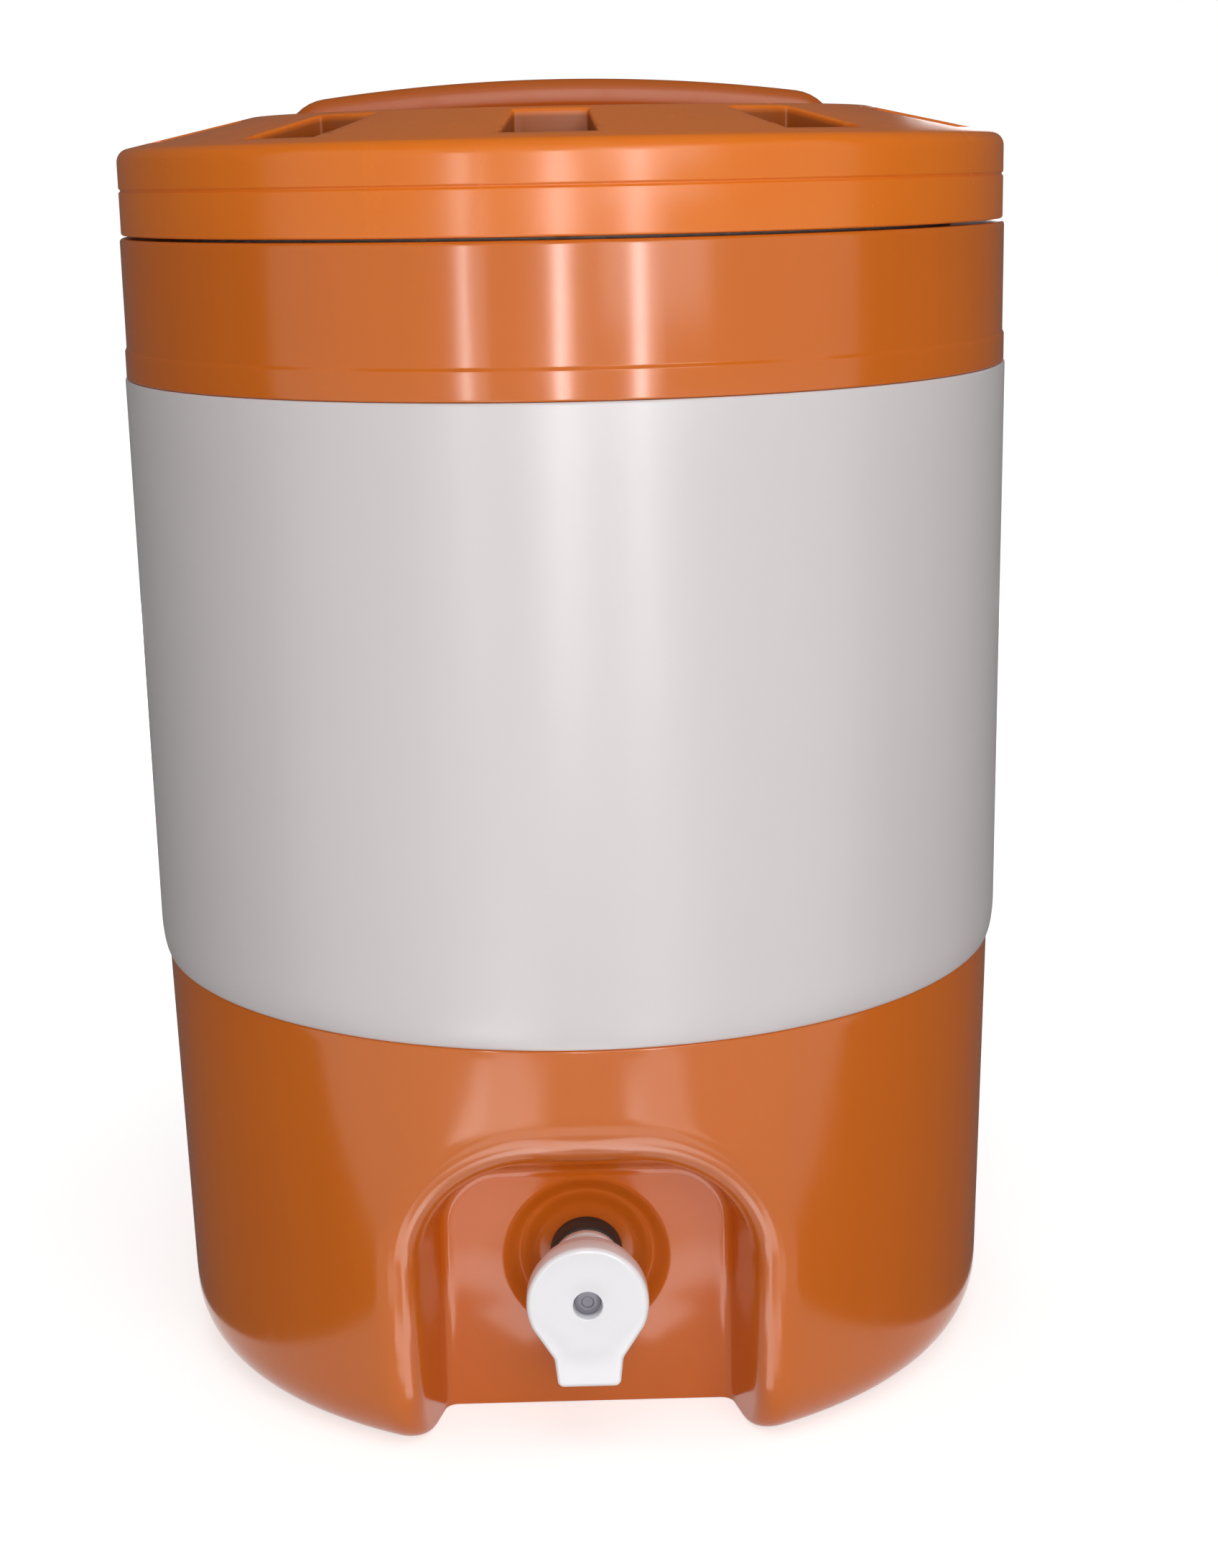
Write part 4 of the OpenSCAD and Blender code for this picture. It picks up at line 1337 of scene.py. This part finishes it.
    def build_lever(self) -> None:
        """Draws the keyhole lever from a ring, gives it thickness and rounds its rims."""
        spot = {"location": (0, -self.head_front * MM, self.axis_z * MM), "rotation": (math.pi / 2, 0, 0)}
        lever = Shape("lever_handle", bpy.ops.mesh.primitive_circle_add, vertices=self.head_points,
                      radius=self.head_r * MM, **spot)
        below = self.axis_z - self.head_r * math.sin(math.radians(self.leave)) - 0.2
        lever.pick(Pick.POINTS, lambda place, _: place.z < below)
        bpy.ops.mesh.delete(type="VERT")
        outline = self.lever_outline()
        for side in (1, -1):
            start = Vector((side * outline[0][0], 0, self.axis_z + outline[0][1]))
            lever.pick(Pick.POINTS, lambda place, _: math.hypot(
                place.x - start.x, place.z - start.z) < self.near)
            for (x, y), (next_x, next_y) in zip(outline, outline[1:]):
                bpy.ops.mesh.extrude_vertices_move(
                    TRANSFORM_OT_translate={"value": (side * (next_x - x) * MM, 0, (next_y - y) * MM)})
        lever.merge(self.weld)
        count = len(bmesh.from_edit_mesh(lever.obj.data).verts)
        bpy.ops.mesh.primitive_circle_add(vertices=count, radius=self.recess_r * MM, **spot)
        bpy.ops.mesh.select_all(action="SELECT")
        bpy.ops.mesh.bridge_edge_loops()
        lever.face_out()
        self.sink(lever, True, self.head_front - self.recess_d)
        self.sink(lever, False, self.tab_t)
        lever.face_out()
        lever.pick_creases(self.crease, lambda place, _: not self.on_recess(place))
        lever.bevel(self.rim_soft, 5)
        lever.pick_creases(self.crease, lambda place, _: self.on_recess(place)
                           and place.y < -self.head_front + 0.2)
        lever.bevel(self.recess_soft, 3)
        obj = lever.finished()
        boss = Shape.turned("lever_boss", rounded([
            (self.boss_hole_r, self.head_back + 1, 0), (self.boss_hole_r, self.head_back, 0.3),
            (self.boss_r, self.head_back, 1.4), (self.boss_r, self.head_front - self.tab_t + 1, 0)], 4),
            self.turned_points)
        join_into(obj, self.on_axis(boss))
        hand_over(obj, Body.VALVE, FINISHES.tap, "tap_lever")

    def build_screw(self) -> None:
        """Turns the lever's grey screw with its domed head and a hollow in its middle."""
        top = self.recess_d + self.screw_t
        screw = Shape.turned("lever_screw_head", rounded([
            (self.screw_stem_r, self.recess_d - self.screw_stem, 0), (self.screw_stem_r, self.recess_d, 0.2),
            (self.screw_r, self.recess_d, 0.2), (self.screw_r, self.recess_d + self.screw_t * 0.7, 0.6),
            (2.4, top, 0.6), (1.9, top - 0.9, 0.2), (0.0, top - 1.0, 0)], 4), self.small_points)
        hand_over(self.on_axis(screw), Body.VALVE, FINISHES.screw, "lever_screw")

    def build(self) -> None:
        """Builds the tap's pieces and dresses what is inside."""
        self.build_body()
        self.build_grommet()
        self.build_lever()
        self.build_screw()
        for node, finish in (("tap_sleeve", FINISHES.tap), ("tap_back_washer", FINISHES.rubber),
                             ("tap_nut", FINISHES.tap), ("tap_retaining_ring", FINISHES.tap),
                             ("tap_plug", FINISHES.tap), ("plug_seals", FINISHES.rubber)):
            keep_node(node, finish)


@dataclass(frozen=True)
class Lamp:
    """A soft rectangular lamp, in metres and watts."""

    name: str
    place: Place
    aim: Place
    size: Point
    power: float
    mirrored: bool = True

    def hang(self) -> None:
        """Hangs the lamp out of the camera's sight."""
        data = bpy.data.lights.new(self.name, "AREA")
        data.shape, data.energy = "RECTANGLE", self.power
        data.size, data.size_y = self.size
        obj = bpy.data.objects.new(self.name, data)
        bpy.context.scene.collection.objects.link(obj)
        obj.location = self.place
        obj.rotation_euler = (Vector(self.aim) - Vector(self.place)).to_track_quat("-Z", "Y").to_euler()
        obj.visible_camera = False
        obj.visible_glossy = self.mirrored


@dataclass(frozen=True)
class Card:
    """A flat card that only reflections see, in metres and degrees."""

    name: str
    place: Place
    turn: Place
    size: Point
    level: float

    def stand(self) -> None:
        """Stands the card in its place."""
        made, bench = blank_material(self.name)
        glow = bench.add("ShaderNodeEmission", None, {"Color": WHITE, "Strength": self.level})
        bench.end("ShaderNodeOutputMaterial", glow)
        bpy.ops.object.select_all(action="DESELECT")
        bpy.ops.mesh.primitive_plane_add(size=1, location=self.place,
                                         rotation=tuple(math.radians(a) for a in self.turn))
        card = bpy.context.active_object
        card.name = self.name
        card.scale = (*self.size, 1)
        card.data.materials.append(made)
        card.visible_camera = card.visible_diffuse = card.visible_shadow = False
        card.visible_transmission = card.visible_volume_scatter = False


@dataclass
class Studio:
    """Floor, light and camera."""

    image: tuple[int, int] = (1696, 2184)
    focal_px: float = 3540.0
    sensor: float = 36.0
    eye: Place = (0.0, -0.9879, 0.4545)
    pitch: float = 13.67
    yaw: float = 0.772
    roll: float = -0.02
    fill: float = 0.35
    floor_r: float = 9.0
    floor_z: float = -0.0004
    floor_colour: Colour = (0.72, 0.72, 0.72)
    glow_rate: float = 0.4
    lamps: tuple[Lamp, ...] = (
        Lamp("top_lamp", (0.2, -0.9, 2.2), (0.0, 0.0, 0.2), (1.6, 1.6), 10.6, mirrored=False),
        Lamp("key_lamp", (0.75, -1.9, 0.9), (0.0, 0.0, 0.25), (1.0, 1.0), 8.0),
        Lamp("front_lamp", (0.0, -1.5, 0.5), (0.0, 0.0, 0.25), (0.5, 0.7), 5.6, mirrored=False),
        Lamp("rear_lamp", (-0.5, 1.75, 0.4), (0.0, 0.0, 0.25), (1.0, 0.7), 9.0, mirrored=False))
    cards: tuple[Card, ...] = (
        Card("strip_left", (-0.523, -1.2445, 0.36), (90.0, 0.0, -22.8), (0.045, 0.62), 22.0),
        Card("strip_mid", (-0.0212, -1.3498, 0.36), (90.0, 0.0, -0.9), (0.055, 0.62), 30.0),
        Card("strip_right", (0.397, -1.2903, 0.36), (90.0, 0.0, 17.1), (0.055, 0.62), 28.0),
        Card("strip_rear", (0.35, 1.15, 0.36), (90.0, 0.0, -17.0), (0.07, 0.62), 4.0),
        Card("floor_left", (-0.2274, -0.793, 0.003), (0.0, 0.0, -16.0), (0.09, 0.95), 3.0),
        Card("floor_right", (0.255, -0.7846, 0.003), (0.0, 0.0, 18.0), (0.09, 0.95), 3.0),
        Card("near_mid", (0.0, -0.29, 0.003), (0.0, 0.0, 0.0), (0.2, 0.08), 2.6),
        Card("lip_left", (0.0125, -0.198, 0.0035), (0.0, 0.0, -34.7), (0.116, 0.035), 4.4),
        Card("lip_right", (-0.0125, -0.198, 0.003), (0.0, 0.0, 34.7), (0.116, 0.035), 4.4),
        Card("far_left", (-0.144, -0.43, 0.003), (0.0, 0.0, 0.0), (0.13, 0.14), 5.5),
        Card("far_right", (0.102, -0.43, 0.003), (0.0, 0.0, 0.0), (0.045, 0.14), 5.5),
        Card("flag_top", (0.0, 0.3, 2.6), (0.0, 0.0, 0.0), (5.0, 5.0), 0.1),
        Card("flag_left", (-0.9, 0.9, 1.2), (90.0, 0.0, 90.0), (2.4, 2.4), 0.1),
        Card("flag_right", (0.9, 0.9, 1.2), (90.0, 0.0, 90.0), (2.4, 2.4), 0.1),
        Card("flag_rear", (0.0, 1.6, 1.2), (90.0, 0.0, 0.0), (3.0, 2.4), 0.1),
        Card("mat_left", (-0.57, 0.66, 0.0008), (0.0, 0.0, 0.0), (0.8, 1.78), 0.1),
        Card("mat_right", (0.57, 0.66, 0.0008), (0.0, 0.0, 0.0), (0.8, 1.78), 0.1),
        Card("mat_rear", (0.0, 0.87, 0.0008), (0.0, 0.0, 0.0), (0.34, 1.36), 0.1))

    def camera(self) -> None:
        """Sets the camera at the photograph's place."""
        data = bpy.data.cameras.new("photo_camera")
        data.sensor_width, data.sensor_fit = self.sensor, "AUTO"
        data.lens = self.focal_px * self.sensor / max(self.image)
        data.clip_start, data.clip_end = 0.05, 60.0
        obj = bpy.data.objects.new("photo_camera", data)
        bpy.context.scene.collection.objects.link(obj)
        p, y = math.radians(self.pitch), math.radians(self.yaw)
        ahead = Vector((math.sin(y) * math.cos(p), math.cos(y) * math.cos(p), -math.sin(p)))
        right = Vector((math.cos(y), -math.sin(y), 0))
        up = right.cross(ahead)
        right, up = (math.cos(self.roll) * right + math.sin(self.roll) * up,
                     math.cos(self.roll) * up - math.sin(self.roll) * right)
        turn = Matrix((right, up, -ahead)).transposed().to_4x4()
        obj.matrix_world = Matrix.Translation(self.eye) @ turn
        bpy.context.scene.camera = obj

    def floor(self) -> None:
        """Lays a white floor that shows white to the camera and keeps the jug's shadow."""
        bpy.ops.object.select_all(action="DESELECT")
        bpy.ops.mesh.primitive_circle_add(vertices=96, radius=self.floor_r, fill_type="NGON",
                                          location=(0, 0, self.floor_z))
        floor = bpy.context.active_object
        floor.name = "studio_floor"
        made, bench = blank_material("studio_floor")
        glow = bench.ramp(bench.length(bench.place()) * self.glow_rate, (0.1, 0.6), (0.4, 0.85))
        shader = bench.add("ShaderNodeBsdfPrincipled", None, {
            "Base Color": (*self.floor_colour, 1.0), "Roughness": 0.9, "Specular IOR Level": 0.0,
            "Emission Color": WHITE, "Emission Strength": bench.seen() * glow})
        bench.end("ShaderNodeOutputMaterial", shader)
        floor.data.materials.append(made)

    def world(self) -> None:
        """Shows white all round and lights the jug with an even fill."""
        world = bpy.data.worlds.new("studio_world")
        world.use_nodes = True
        bench = NodeBench(world.node_tree)
        level = bench.seen() * (1.0 - self.fill) + self.fill
        shader = bench.add("ShaderNodeBackground", None, {"Color": WHITE, "Strength": level})
        bench.end("ShaderNodeOutputWorld", shader)
        bpy.context.scene.world = world

    def build(self) -> None:
        """Sets up the whole studio."""
        self.floor()
        self.world()
        for lamp in self.lamps:
            lamp.hang()
        for card in self.cards:
            card.stand()
        self.camera()
        bpy.context.scene.view_settings.view_transform = "Standard"


def main() -> None:
    """Builds the jug's sub-assemblies in order, then the studio."""
    logging.basicConfig(level=logging.INFO, format="%(name)s: %(message)s")
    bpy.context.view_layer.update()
    for assembly in (Base(), Wall(), Tap(), Lid(), Studio()):
        assembly.build()
        LOG.info("%s done", type(assembly).__name__)


if __name__ == "__main__":
    main()
